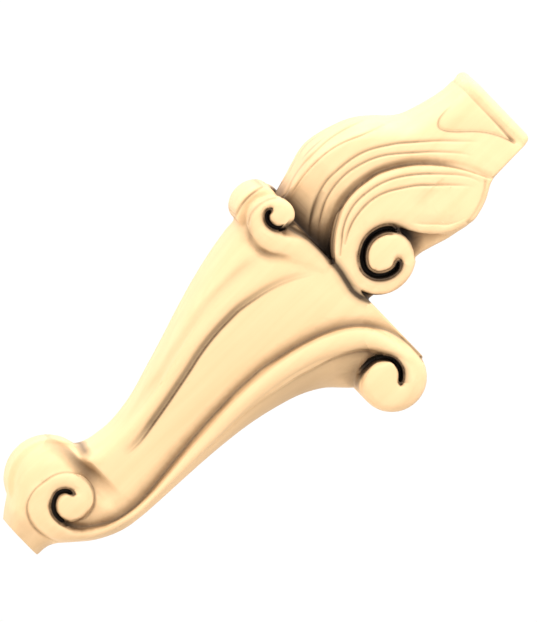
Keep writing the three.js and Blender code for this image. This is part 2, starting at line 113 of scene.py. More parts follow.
leg_front_shoulder = line_through([
    (-140.5, -58), (-150, -60), (-158, -55), (-168, -46.5), (-178, -43.5), (-190, -43),
    (-205, -41.5), (-220, -39), (-230, -37), (-250, -32), (-270, -24), (-290, -18.5), (-310, -15),
    (-325, -14.5), (-334, -18), (-341, -24.5), (-350, -29), (-360, -34), (-370, -35), (-380, -32),
    (-390, -26), (-401, -21),
])
leg_back_shoulder = line_through([
    (-140.5, 76), (-150, 68), (-160, 50), (-170, 42), (-180, 36), (-192, 30.5), (-206, 26.5),
    (-222, 24.5), (-240, 23), (-262, 22.5), (-300, 22), (-330, 21.5), (-345, 19.5), (-356, 15.5),
    (-367, 9), (-378, 1), (-386, -7), (-401, -10),
])
panel_share = line_through([
    (-140.5, 1), (-190, 1), (-240, 0.89), (-280, 0.81), (-310, 0.8), (-335, 0.83), (-367, 0.85),
    (-388, 0.75), (-401, 0.66),
])
front_share = line_through([
    (-140.5, 0.95), (-150, 0.97), (-165, 1.04), (-200, 1.05), (-250, 0.96), (-300, 0.86),
    (-326, 0.83), (-333, 0.82), (-336, 0.8), (-338.5, 0.7), (-341, 0.64), (-345, 0.66), (-348, 0.76),
    (-352, 0.84), (-360, 0.87), (-375, 0.86), (-388, 0.78), (-401, 0.72),
])
LEG_FRONT_BLUNTNESS = 2.2
leg_back_bluntness = line_through([(-140.5, 2), (-160, 1.6), (-215, 1.6), (-260, 1.9), (-401, 2)])
leg_depth = leg_back(SHOULDER) - leg_front(SHOULDER)
print("leg, front to back at the shoulder:", round(float(leg_depth), 1), "mm")

# %% Outlines of the leaf and neck, above the shoulder
leaf_front = line_through([
    (0, -27.3), (-15, -27.7), (-25, -29.7), (-35, -32.5), (-44, -35.8), (-50, -40), (-60, -50.2),
    (-70, -57), (-80, -60.5), (-90, -63), (-100, -64.2), (-107, -63.4), (-115, -60.8), (-125, -58),
    (-135, -56), (-142, -55),
])
leaf_front_shoulder = line_through([
    (0, -20), (-20, -20), (-40, -23), (-50, -28), (-60, -37), (-70, -46), (-80, -53), (-90, -57),
    (-100, -59), (-115, -57.5), (-125, -55), (-142, -51),
])
leaf_back_shoulder = line_through([
    (0, 25.2), (-20, 25.5), (-32, 26), (-43, 29), (-50, 32.6), (-58, 35.2), (-62, 33.2),
    (-70, 28.6), (-78, 21.5), (-90, 15), (-98, 12), (-125, 14), (-136, 21), (-142, 24),
])
leaf_back = line_through([
    (0, 27.6), (-15, 28.2), (-30, 29.2), (-34, 30.2), (-43, 36.2), (-50, 38.6), (-58, 39.8),
    (-64, 40), (-70, 39.2), (-78, 38.2), (-90, 34.8), (-98, 33), (-110, 33), (-120, 33),
    (-130, 33), (-136, 32), (-142, 31),
])
LEAF_BOTTOM = -142
LEAF_BACK_BLUNTNESS = 2.4
leaf_front_bluntness = line_through([(0, 3.6), (-35, 3.2), (-60, 2.4), (-142, 2.3)])
leaf_share = line_through([
    (0, 1.035), (-20, 1.045), (-40, 1.09), (-60, 1.16), (-100, 1.2), (-108, 1.14), (-116, 1.04),
    (-126, 0.86), (-142, 0.68),
])
leaf_depth = leaf_back(LEAF_BOTTOM) - leaf_front(LEAF_BOTTOM)
print("leaf, front to back at its foot:", round(float(leaf_depth), 1), "mm")


# %% [markdown]
# ## Skins over sections
# A leg like this has no primitive to start from: each level has its own section, as a carver's templates do.
# So the sections are drawn as rings of points and a skin is laid over them. Everything that a real tool
# would round off is rounded later, by the remesh that makes the block one solid.

# %% A skin over rings
def skin(name, rings):
    """A closed mesh over rings of drawn points that all have the same count."""
    rings = np.asarray(rings, float)
    count, around = rings.shape[:2]
    middles = [rings[0].mean(0), rings[-1].mean(0)]
    points = np.vstack([rings.reshape(-1, 3), middles])
    faces = []
    for i in range(count - 1):
        for j in range(around):
            k = (j + 1) % around
            faces.append((i * around + j, i * around + k, (i + 1) * around + k, (i + 1) * around + j))
    first, last = count * around, count * around + 1
    for j in range(around):
        k = (j + 1) % around
        faces.append((first, k, j))
        faces.append((last, (count - 1) * around + j, (count - 1) * around + k))
    mesh = bpy.data.meshes.new(name)
    mesh.from_pydata(to_frame(points).tolist(), [], faces)
    mesh.validate()
    piece = bpy.data.objects.new(name, mesh)
    bpy.context.scene.collection.objects.link(piece)
    face_outwards(piece)
    return piece


def face_outwards(piece):
    bpy.ops.object.select_all(action="DESELECT")
    bpy.context.view_layer.objects.active = piece
    piece.select_set(True)
    bpy.ops.object.mode_set(mode="EDIT")
    bpy.ops.mesh.select_all(action="SELECT")
    bpy.ops.mesh.normals_make_consistent(inside=False)
    bpy.ops.object.mode_set(mode="OBJECT")


def crown(middle, shoulder_x, shoulder_y, bluntness, count=26):
    """A rounded face from the middle line out to a shoulder; bluntness 2 is an ellipse, more is squarer."""
    angle = np.linspace(0, math.pi / 2, count)
    x = shoulder_x * np.sin(angle) ** (2 / bluntness)
    y = shoulder_y + (middle - shoulder_y) * np.clip(np.cos(angle), 0, 1) ** (2 / bluntness)
    return np.column_stack([x, y])


def ring_at(level, half):
    """Half an outline, front to back, made into a whole ring at a level."""
    near = np.column_stack([half, np.full(len(half), level)])
    far = near[1:-1][::-1] * [-1, 1, 1]
    return np.vstack([near, far])


# %% The leg's body
LEVEL_STEP = 1.25
LEG_SIDE_POINTS = 42


def leg_half(level):
    front_x, panel_x = HALF_PANEL * front_share(level), HALF_PANEL * panel_share(level)
    front_y, back_y = leg_front_shoulder(level), leg_back_shoulder(level)
    share = np.linspace(0, 1, LEG_SIDE_POINTS)[1:-1]
    ease = share * share * (3 - 2 * share)
    side = np.column_stack([front_x + (panel_x - front_x) * ease, front_y + (back_y - front_y) * share])
    back = crown(leg_back(level), panel_x, back_y, leg_back_bluntness(level))[::-1]
    return np.vstack([crown(leg_front(level), front_x, front_y, LEG_FRONT_BLUNTNESS), side, back])


leg_levels = np.append(np.arange(SOLE, SHOULDER - 1, LEVEL_STEP), SHOULDER)
leg = skin("leg", [ring_at(level, leg_half(level)) for level in leg_levels])
print("leg:", len(leg.data.vertices), "vertices")


# %% The leaf's body and the neck
LEAF_SIDE_POINTS = 30


def leaf_half(level):
    half = HALF_NECK * leaf_share(level)
    front_y, back_y = leaf_front_shoulder(level), leaf_back_shoulder(level)
    share = np.linspace(0, 1, LEAF_SIDE_POINTS)[1:-1]
    side = np.column_stack([np.full(len(share), half), front_y + (back_y - front_y) * share])
    back = crown(leaf_back(level), half, back_y, LEAF_BACK_BLUNTNESS)[::-1]
    return np.vstack([crown(leaf_front(level), half, front_y, leaf_front_bluntness(level)), side, back])


leaf_levels = np.arange(LEAF_BOTTOM, CAP_TOP - CAP_THICKNESS / 2 + 0.1, LEVEL_STEP)
leaf = skin("leaf", [ring_at(level, leaf_half(level)) for level in leaf_levels])
print("leaf:", len(leaf.data.vertices), "vertices")

# %% [markdown]
# ## The carved bands
# The rib, the scrolls and the leaf's band are strips that stand proud of the block and wind round a centre.
# A curve with a bevel would give them one width all along, and the real ones swell and thin. So each band is
# given by its two edges seen from the side, and a rounded section is swept between them.

# %% Edges that turn
foot_turn = (-17.5, -367.5)
back_turn = (73, -163.5)
small_turn = (-53.5, -147.5)
leaf_turn = (11, -116.5)


def turn(centre, start, end, count):
    """Pairs of edge points of a band round a centre, from and to (degrees, radius, half width)."""
    pairs = []
    for degrees, radius, half in np.linspace(start, end, count):
        angle = math.radians(degrees)
        way = np.array([math.cos(angle), math.sin(angle)])
        pairs.append([centre + way * (radius + half), centre + way * (radius - half)])
    return pairs


def smooth_rail(points, steps):
    """A smooth line through the points of one edge, spaced as the points are."""
    points = np.array(points, float)
    gaps = np.linalg.norm(np.diff(points, axis=0), axis=1) ** 0.5
    knots = np.append(0, np.cumsum(gaps))
    slopes = np.gradient(points, knots, axis=0)
    at = np.interp(np.linspace(0, len(points) - 1, steps), np.arange(len(points)), knots)
    i = np.clip(np.searchsorted(knots, at) - 1, 0, len(points) - 2)
    span = (knots[i + 1] - knots[i])[:, None]
    t = ((at - knots[i])[:, None]) / span
    rise = (3 - 2 * t) * t * t
    return (
        points[i] + rise * (points[i + 1] - points[i])
        + t * (1 - t) * span * ((1 - t) * slopes[i] - t * slopes[i + 1])
    )


# %% The rib and its scrolls, the small scroll and the leaf's band
rib_edges = [
    *turn(foot_turn, (30, 13, 6), (81, 16.2, 5.6), 3),
    *turn(foot_turn, (105, 15.4, 5.2), (175, 12.4, 5.2), 4),
    *turn(foot_turn, (200, 12.2, 8), (285, 14, 8.8), 5),
    [(-0.5, -385.5), (1, -371.5)],
    [(15, -367), (12, -359.5)],
    [(23, -343), (17.4, -342)],
    [(24, -325), (18.7, -325)],
    [(24.5, -285), (14.5, -285)],
    [(23.5, -240), (11, -240)],
    [(27.5, -206), (13.4, -205)],
    [(36.5, -180), (21.8, -174)],
    [(51, -161), (36.9, -152.5)],
    *turn(back_turn, (115, 15, -6.5), (10, 12.6, -8.9), 6),
    *turn(back_turn, (-12, 13, -8.5), (-110, 14, -7.5), 5),
]
small_scroll_edges = [
    [(-6, -149), (-6, -141.5)],
    [(-20, -156), (-20, -141.5)],
    [(-29, -162), (-29, -141.5)],
    [(-37, -166), (-38, -144.5)],
    [(-45, -167), (-43.5, -149)],
    *turn(small_turn, (268, 12, 6.5), (190, 9.8, 3.6), 4),
    *turn(small_turn, (168, 9.6, 3.4), (110, 9.3, 3.6), 3),
]
band_edges = [
    [(24.5, -33.5), (36, -61)],
    [(8, -40), (32, -74)],
    [(-7, -52), (23.5, -84)],
    [(-19.5, -66), (11, -92.5)],
    [(-27.5, -81), (4, -98.5)],
    [(-31, -97), (1, -107)],
    [(-29, -111), (2, -115)],
    [(-21.5, -125.5), (6, -121)],
    *turn(leaf_turn, (228, 20.6, 9.4), (285, 18.2, 6.6), 3),
    *turn(leaf_turn, (305, 18.3, 6.6), (330, 18.2, 6.4), 2),
    *turn(leaf_turn, (350, 17.6, 5.9), (388, 17.4, 5.9), 3),
    *turn(leaf_turn, (408, 15.8, 7.2), (450, 13.7, 7.7), 3),
]
print("edge pairs of the bands:", len(rib_edges), len(small_scroll_edges), len(band_edges))

# %% Sweep a section between two edges
round_section = [
    (0, 0), (0.05, 0.42), (0.14, 0.7), (0.28, 0.92), (0.45, 1),
    (0.62, 0.98), (0.8, 0.85), (0.93, 0.52), (1, 0),
]
band_section = [
    (0, 0), (0.03, 0.6), (0.1, 0.86), (0.25, 0.93), (0.5, 1),
    (0.72, 0.99), (0.84, 0.86), (0.94, 0.7), (0.985, 0.58), (1, 0),
]
STEPS_A_PAIR = 9
POINTS_ACROSS = 33


def band(name, edges, foot, relief, section, root):
    """foot(level) and relief(share along) give how far out the band starts and how far it stands off."""
    steps = STEPS_A_PAIR * (len(edges) - 1)
    outer = smooth_rail([pair[0] for pair in edges], steps)
    inner = smooth_rail([pair[1] for pair in edges], steps)
    across, rise = np.array(section).T
    fine = (1 - np.cos(np.linspace(0, math.pi, POINTS_ACROSS))) / 2
    heights = np.interp(fine, across, rise)
    rings = []
    for i in range(steps):
        flat = outer[i] + fine[:, None] * (inner[i] - outer[i])
        x = foot(flat[:, 1]) + relief(i / (steps - 1)) * heights
        root_points = [(root, *inner[i]), (root, *outer[i])]
        rings.append(np.vstack([np.column_stack([x, flat]), root_points]))
    return skin(name, rings)


def eased(*keys):
    """A value that runs straight between (share along, value) keys."""
    share, value = np.array(keys, float).T
    return lambda at: float(np.interp(at, share, value))


SINK = 0.6
LEAF_SWELL = 1.12
PANEL_ROOT = 16
LEAF_ROOT = 7


def panel_foot(level):
    return HALF_PANEL * panel_share(level) - SINK


def leaf_foot(level):
    return np.full(np.shape(level), HALF_NECK * LEAF_SWELL)


rib_relief = eased((0, 4.4), (0.3, 5), (0.42, 6.4), (0.55, 7), (0.8, 7), (0.92, 9), (1, 9))
scroll_relief = eased((0, 0.5), (0.3, 5), (1, 5))
leaf_relief = eased((0, -1), (0.05, 1.5), (0.12, 3), (0.3, 6), (1, 6))
rib = band("rib", rib_edges, panel_foot, rib_relief, round_section, PANEL_ROOT)
small_scroll = band("small_scroll", small_scroll_edges, panel_foot, scroll_relief, round_section, PANEL_ROOT)
leaf_band = band("leaf_band", band_edges, leaf_foot, leaf_relief, band_section, LEAF_ROOT)
print("bands:", sum(len(piece.data.polygons) for piece in (rib, small_scroll, leaf_band)), "faces")

# %% [markdown]
# ## Eyes, rolls and the cap
# The round and the square parts do start from primitives. An eye is a short cylinder on its side with a
# bevelled rim, a roll is a longer one, and the cap is a cube with its edges bevelled.

# %% Eyes and rolls
ROUND_SIDES = 96
RIM_SEGMENTS = 8


def place_button(name, at, size, inner, outer, rim):
    """A cylinder along X, as high and as deep as size says, with a rounded rim at its outer end."""
    bpy.ops.mesh.primitive_cylinder_add(
        vertices=ROUND_SIDES, radius=MM, depth=(outer - inner) * MM,
        location=to_frame([(inner + outer) / 2, *at]), rotation=(0, math.pi / 2, 0),
    )
    piece = bpy.context.object
    piece.name = name
    piece.scale = (size[1], size[0], 1)
    bpy.ops.object.transform_apply(location=True, rotation=True, scale=True)
    bevel = piece.modifiers.new("rim", "BEVEL")
    bevel.width = rim * MM
    bevel.segments = RIM_SEGMENTS
    bevel.limit_method = "ANGLE"
    bpy.ops.object.modifier_apply(modifier="rim")
    return piece


def beside(across, level, out):
    """The drawn (y, level) of a point that is seen at a place from the side, when it stands that far out."""
    return (across - math.sin(VIEW_TURN) * out) / math.cos(VIEW_TURN), level


VOLUTE_OUT = 42.0
FOOT_COIL_OUT = 33.0
LEAF_VOLUTE_OUT = 34.2
SMALL_SCROLL_OUT = 38.4
eyes = [
    place_button("foot_inner_turn", beside(-7.5, -359.5, FOOT_COIL_OUT), (14.5, 14.2), 16, 31.4, 1.4),
    place_button("foot_eye", beside(-3.2, -363.5, FOOT_COIL_OUT), (10.6, 10.6), 16, FOOT_COIL_OUT, 3.5),
    place_button("back_eye", beside(80, -167, 41), (17.6, 17.6), 16, VOLUTE_OUT, 5.5),
    place_button("small_eye", beside(-44, -143, 38), (9.5, 9), 20, SMALL_SCROLL_OUT, 3.6),
    place_button("leaf_eye", beside(19.2, -112.3, 34), (13.2, 16.5), 10, LEAF_VOLUTE_OUT, 3),
]
rolls = [
    place_button("foot_strap", (-26.5, -363), (27.2, 27.2), -11, 11, 1.2),
    place_button("back_roll", (73, -163.5), (21.9, 21.9), -HALF_PANEL, HALF_PANEL, 2),
    place_button("leaf_roll", (11.8, -117.5), (24.8, 24.8), -HALF_NECK, HALF_NECK, 2),
]
print("round pieces:", len(eyes) + len(rolls))

# %% The front roll between the two small scrolls, and the cap
front_roll = [
    place_button("front_roll", (-55.5, -150.5), (12.3, 12.3), -36, 36, 2),
    place_button("front_bulge", (-62.8, -150.7), (11.2, 14.7), -20.5, 20.5, 3.5),
]

CAP_CORNER = 4.5
CAP_EDGE = 1.3
bpy.ops.mesh.primitive_cube_add(size=1, location=to_frame([0, 0, CAP_TOP - CAP_THICKNESS / 2]))
cap = bpy.context.object
cap.name = "cap"
cap.scale = (CAP_SIDE * MM, CAP_SIDE * MM, CAP_THICKNESS * MM)
bpy.ops.object.transform_apply(location=True, rotation=True, scale=True)
bpy.ops.object.mode_set(mode="EDIT")
bpy.ops.mesh.select_all(action="DESELECT")
bpy.ops.object.mode_set(mode="OBJECT")
for edge in cap.data.edges:
    a, b = (cap.data.vertices[i].co for i in edge.vertices)
    edge.select = abs(a.z - b.z) > CAP_THICKNESS * MM / 2
bpy.ops.object.mode_set(mode="EDIT")
bpy.ops.mesh.select_mode(type="EDGE")
bpy.ops.mesh.bevel(offset=CAP_CORNER * MM, segments=8)
bpy.ops.object.mode_set(mode="OBJECT")
bevel = cap.modifiers.new("edges", "BEVEL")
bevel.width = CAP_EDGE * MM
bevel.segments = 4
bevel.limit_method = "ANGLE"
bpy.ops.object.modifier_apply(modifier="edges")
print("cap:", len(cap.data.polygons), "faces")

# %% [markdown]
# ## One block
# The pieces above overlap, as drawn forms do, but the real bracket is one piece of wood. A mirror gives the
# far side its bands, and a voxel remesh then joins everything into one skin with no inner walls.

# %% Mirror, join and remesh
VOXEL = 0.6 * MM


def select_only(pieces):
    bpy.ops.object.select_all(action="DESELECT")
    for piece in pieces:
        piece.select_set(True)
    bpy.context.view_layer.objects.active = pieces[0]


def apply_modifier(piece, kind, **settings):
    select_only([piece])
    modifier = piece.modifiers.new(kind.lower(), kind)
    for key, value in settings.items():
        setattr(modifier, key, value)
    bpy.ops.object.modifier_apply(modifier=modifier.name)


near_side = [rib, small_scroll, leaf_band, *eyes]
select_only(near_side)
bpy.ops.object.join()
apply_modifier(rib, "MIRROR", use_axis=(True, False, False), use_mirror_merge=False)
face_outwards(rib)
select_only([leg, leaf, cap, rib, *rolls, *front_roll])
bpy.ops.object.join()
carving = bpy.context.object
carving.name = carving.data.name = "carved_bracket"
apply_modifier(carving, "REMESH", mode="VOXEL", voxel_size=VOXEL)
print("one block:", len(carving.data.vertices), "vertices")

# %% [markdown]
# ## The deep hooks of the scrolls
# Each scroll is set off from its eye by a narrow, deep channel with a hooked end. It could be left as a gap
# between two pieces, but a carver drives it in last, and so it is cut here too: a thin wall is swept along
# the channel's middle line and taken away from the block by a boolean.


# %% Cut the channels
CLEAR_OF_WOOD = 8
BOTTOM_CURVE = 1
END_TAPER = 12
LEAST_OPENING = 0.1
STEPS_A_POINT = 8


def channel(name, line, width, bottom, out):
    """A thin wall along a line seen from the side, from the channel's bottom to just outside the wood."""
    middle = smooth_rail([beside(*point, out) for point in line], STEPS_A_POINT * len(line))
    way = np.gradient(middle, axis=0)
    normal = np.column_stack([-way[:, 1], way[:, 0]]) / np.linalg.norm(way, axis=1)[:, None]
    share = np.linspace(0, 1, len(middle))
    opening = np.clip(np.minimum(share, 1 - share) * END_TAPER + LEAST_OPENING, 0, 1)
    half = width / 2 * np.sqrt(opening)[:, None]
    left, right = middle + normal * half, middle - normal * half
    rings = []
    for a, b, m in zip(left, right, middle):
        rings.append([
            (out + CLEAR_OF_WOOD, *a), (bottom + BOTTOM_CURVE, *a), (bottom, *m),
            (bottom + BOTTOM_CURVE, *b), (out + CLEAR_OF_WOOD, *b),
        ])
    return skin(name, rings)


def recess(name, outline, bottom, out):
    """A block with an outline seen from the side, from the recess's floor to just outside the wood."""
    flat = [beside(*point, out) for point in outline]
    return skin(name, [[(x, *point) for point in flat] for x in (bottom, out + CLEAR_OF_WOOD)])


channels = [
    channel(
        "leaf_channel",
        [
            (17, -96.4), (12, -98.8), (7.8, -103.5), (5.6, -111), (6.6, -118), (11.3, -124.8), (18, -128.6),
            (24.8, -127), (29.5, -121.3), (30.8, -115), (28.6, -110),
        ],
        3.4, 21, 34,
    ),
    channel(
        "back_channel",
        [
            (63.6, -178), (62.8, -173), (62.6, -168), (63.2, -164), (65.4, -160), (70.4, -156), (77, -156.4),
            (81.5, -159.7), (83.3, -162.5),
        ],
        3, 28, 41,
    ),
    channel(
        "foot_channel",
        [
            (1, -374), (-3, -374.6), (-8, -374), (-13, -370), (-15, -364.5),
            (-13, -360), (-8.5, -358),
        ],
        2.8, 26, 32,
    ),
    channel(
        "small_channel",
        [
            (-49.8, -145.5), (-49.5, -149), (-45.5, -151.8), (-40.5, -151.2), (-37.4, -148.4),
            (-36, -145), (-35.4, -142),
        ],
        2.8, 29, 38,
    ),
    recess(
        "lip_recess",
        [
            (46, -74), (39, -77), (34, -80.5), (30, -84.5), (25, -88.5), (20, -91.8), (15, -94.5), (11, -98),
            (15, -97.8), (20, -96.4), (25, -96.6), (30, -98.8), (34, -102), (46, -102.3),
        ],
        21, 33,
    ),
]
select_only(channels)
bpy.ops.object.join()
cutter = bpy.context.object
apply_modifier(cutter, "MIRROR", use_axis=(True, False, False), use_mirror_merge=False)
face_outwards(cutter)
apply_modifier(carving, "BOOLEAN", operation="DIFFERENCE", solver="MANIFOLD", object=cutter)
bpy.data.objects.remove(cutter)
apply_modifier(carving, "REMESH", mode="VOXEL", voxel_size=VOXEL)
apply_modifier(carving, "SMOOTH", factor=0.5, iterations=4)
print("after the channels:", len(carving.data.vertices), "vertices")

# %% [markdown]
# ## The finer carving
# Flutes, creases and hollows follow long curved lines over the block. On a real block a gouge is pushed
# along a pencilled line. Here the same is done in code: each line is drawn as it is seen from the side, a
# little from the front, and every vertex near it is moved in or out along its normal by a gouge's profile.
# Each cut also gets painted shade along it, noted down for the material's colour.

# %% Reading and writing the block's vertices
def read_vertices(piece):
    points = np.empty(len(piece.data.vertices) * 3, np.float32)
    piece.data.vertices.foreach_get("co", points)
    normals = np.empty_like(points)
    piece.data.vertex_normals.foreach_get("vector", normals)
    points = points.reshape(-1, 3).astype(float) / MM + [0, 0, CAP_TOP]
    return points, normals.reshape(-1, 3).astype(float)


def write_vertices(piece, points):
    piece.data.vertices.foreach_set("co", to_frame(points).astype(np.float32).ravel())
    piece.data.update()


def seen(points):
    """Points as they are seen from the side, turned a little to the front; both sides are alike."""
    across = np.cos(VIEW_TURN) * points[:, 1] + np.sin(VIEW_TURN) * np.abs(points[:, 0])
    return np.column_stack([across, points[:, 2]])


print("vertices to carve:", len(read_vertices(carving)[0]))


# %% Gouging along a line
LINE_STEPS_A_POINT = 6
FAR_AWAY = 1e9


def along_line(line, flat):
    """Signed distance to a line, positive to the back of one drawn downwards, and the share along it."""
    line = smooth_rail(line, LINE_STEPS_A_POINT * len(line))
    length = np.append(0, np.cumsum(np.linalg.norm(np.diff(line, axis=0), axis=1)))
    best = np.full(len(flat), FAR_AWAY)
    side = np.zeros(len(flat))
    share = np.zeros(len(flat))
    for i in range(len(line) - 1):
        way = line[i + 1] - line[i]
        span = np.hypot(*way)
        away = flat - line[i]
        t = np.clip(away @ way / span**2, 0, 1)
        gap = np.hypot(*(away - t[:, None] * way).T)
        closer = gap < best
        best = np.where(closer, gap, best)
        side = np.where(closer, np.sign(way[0] * away[:, 1] - way[1] * away[:, 0]), side)
        share = np.where(closer, (length[i] + t * span) / length[-1], share)
    return best * np.where(side == 0, 1, side), share


painted_shade_lines = []
FADE_WIDTH = 3


def paint_shade_along(line, painted_shade, fade=((0, 1), (1, 1)), beyond=0, within=99):
    """Painted shade across a line, kept for the material, on wood between two distances from the middle."""
    painted_shade_lines.append((line, painted_shade, fade, beyond, within))


def gouge(piece, line, profile, fade=((0, 1), (1, 1)), facing=0.25, inside=0.0, painted_shade=None):
    """profile and painted shade are (distance, height or painted darkness) keys, fade is (share along,
    strength) keys.
    """
    if painted_shade:
        paint_shade_along(line, painted_shade, fade, beyond=inside)
    points, normals = read_vertices(piece)
    reach = max(abs(profile[0][0]), abs(profile[-1][0])) + 1
    flat = seen(points)
    low, high = np.min(line, axis=0) - reach, np.max(line, axis=0) + reach
    near = np.all((flat > low) & (flat < high), axis=1) & (np.abs(points[:, 0]) > inside)
    near &= np.abs(normals[:, 0]) > facing / 2
    picked = np.flatnonzero(near)
    distance, share = along_line(line, flat[picked])
    height = line_through(profile)(distance) * np.interp(share, *np.array(fade, float).T)
    height *= np.clip(np.abs(normals[picked, 0]) / facing - 0.5, 0, 1)
    if inside:
        height *= np.clip((np.abs(points[picked, 0]) - inside) / FADE_WIDTH, 0, 1)
    points[picked] += normals[picked] * height[:, None]
    write_vertices(piece, points)
    print("gouged:", len(picked), "vertices, deepest", round(float(height.min()), 2), "mm")


# %% The creases down the leg
front_valley = [
    (-34, -170), (-36, -180), (-37, -190), (-37, -200), (-36.5, -212), (-35, -225), (-32, -240),
    (-29, -253), (-25, -268), (-22, -283), (-20, -295), (-19, -312),
]
gouge(
    carving, front_valley, [(-9, 0), (-5, -0.6), (-1.5, -2), (0, -2.4), (3, -1.5), (9, 0)],
    fade=((0, 0.2), (0.12, 1), (0.75, 0.9), (1, 0)),
    painted_shade=[(-4, 0), (-2, 0.1), (-0.5, 0.17), (1.5, 0.14), (5, 0)],
)
ridge_step = [
    (-2, -152), (-5, -158), (-9, -165), (-12.5, -173), (-15.5, -183), (-17.5, -193), (-19, -203),
    (-19, -213), (-18.6, -222), (-17.5, -232), (-15.7, -242), (-13.3, -252), (-10.5, -265), (-7.8, -278),
    (-5.2, -292), (-3.2, -303), (-2.7, -311), (-3.5, -318),
]
gouge(
    carving, ridge_step,
    [
        (-14, 0), (-10, 0.7), (-7, 1), (-4.5, 0.3), (-3, -0.9), (-1.9, -2), (-1.1, -1.7), (-0.6, -2),
        (0, -2.6), (0.8, -1.3), (2.2, -0.8), (5, -0.5), (9, -0.2), (15, 0),
    ],
    fade=((0, 0), (0.1, 0.3), (0.25, 0.7), (0.35, 0.95), (0.85, 1), (0.94, 0.5), (1, 0)),
    painted_shade=[
        (-5.4, 0), (-4, 0.18), (-2.8, 0.5), (-1.9, 0.68), (-1.2, 0.5), (-0.8, 0.36),
        (-0.2, 0.82), (0.5, 0.76), (1.1, 0.16), (2.2, 0),
    ],
)
rib_crease = [
    (84, -142.3), (79, -141.6), (74, -141.4), (67, -142), (60, -143.4), (55, -145), (48, -149),
    (42, -153.5), (36, -160), (31, -168), (27, -177), (24, -186), (21.5, -195), (19, -207),
    (17, -218), (16.3, -230), (16, -240), (16.5, -250), (17, -262), (18, -275), (19.5, -290),
    (21, -303), (22.5, -315), (23.5, -325), (23.8, -335), (23, -343), (21, -351), (17, -359),
    (12, -366), (7, -370.6),
]
gouge(
    carving, rib_crease,
    [(-13, 0), (-8, -0.4), (-4, -0.9), (-1.6, -1.4), (-0.4, -1.7), (0.4, -1), (1, -0.2), (1.6, 0)],
    fade=((0, 0.8), (0.1, 0.9), (0.25, 1), (0.95, 1), (1, 0.8)),
    painted_shade=[(-8, 0), (-3.5, 0.12), (-1.6, 0.28), (-0.7, 0.52), (0, 0.74), (0.6, 0.5), (1.1, 0.08), (1.8, 0)],
)
rib_outer_edge = [
    (62, -161), (56, -163), (52, -167), (47, -175), (43, -184), (40, -195), (37, -205), (35, -215),
    (33, -225), (31, -237), (30, -250), (30, -275), (30.5, -290), (31, -305),
]
gouge(
    carving, rib_outer_edge, [(-2.2, 0), (-0.8, -0.5), (0, -1.8), (0.9, -1.3), (3, -0.9), (8, 0)],
    fade=((0, 1), (0.35, 0.9), (0.6, 0.55), (0.8, 0.25), (1, 0)),
    painted_shade=[(-1.3, 0), (-0.5, 0.24), (0, 0.5), (0.6, 0.38), (1.6, 0.3), (8, 0.28), (13, 0.22), (22, 0.04)],
)

# %% [markdown]
# ## The flutes of the leaf
# The leaf's veins are thin V cuts that fan out from the neck and bend round the volute. They could be
# loops of the mesh, but then every vein would need its own edges. Drawn as lines, they share one cut.

# %% The flutes' lines
flute_a = [
    (-38, -50), (-39, -55), (-44, -70), (-50, -85), (-52, -95), (-52.5, -105), (-52, -115),
    (-50, -125), (-48, -134),
]
flute_b = [
    (10, -21), (4, -27), (-2, -33), (-8, -39), (-15, -47), (-20, -53), (-25, -59), (-29, -65),
    (-33, -71.5), (-36, -78), (-38, -85), (-39, -92), (-39.5, -100), (-39.5, -107), (-38, -114),
    (-35.5, -121), (-32, -128), (-27, -135), (-22, -140),
]
flute_c = [
    (14, -30), (8, -34), (0, -41), (-8, -49), (-14, -56), (-20, -63), (-26, -71), (-30, -79), (-32.5, -87),
    (-34, -95), (-34, -103), (-33, -110), (-30.5, -118), (-26, -126), (-21, -133), (-16, -138),
]
flute_d = [
    (31, -32.5), (22, -37), (13, -42), (5, -47.5), (-2, -53.5), (-9, -61), (-14, -68), (-18, -75),
    (-21, -82), (-22.5, -90), (-23.3, -98), (-23, -105), (-21.5, -112), (-18, -119), (-13, -127),
    (-7, -134), (0, -140),
]
flute_e = [
    (30, -38), (22, -41), (16, -45), (10, -50.5), (4, -56.5), (-2, -63), (-8, -71), (-12, -78), (-15, -86),
    (-16.5, -94), (-17, -102), (-16, -109), (-13.5, -116), (-10, -122), (-5, -128), (0, -134),
]
flute_f = [
    (27, -43.5), (20, -50), (14, -56), (8, -62.5), (2, -69), (-4, -78), (-8, -85), (-10.5, -92),
    (-11.5, -100), (-11, -107), (-9.5, -114), (-7, -120), (-3, -127),
]
flank_1 = [
    (-48, -58), (-52, -68), (-55, -78), (-57, -88), (-57.5, -100), (-57, -112), (-55, -122),
    (-52, -130), (-51, -135),
]
flank_2 = [(-55, -66), (-58, -77), (-60, -88), (-60.5, -100), (-60, -112), (-58, -122), (-56, -130)]
FRONT_PLAIN = 6
thin_flutes = (flute_b, flute_c, flute_e, flute_f)
front_flutes = (flute_a, flank_1, flank_2)
print("thin flutes:", len(thin_flutes), "and round the front:", len(front_flutes))

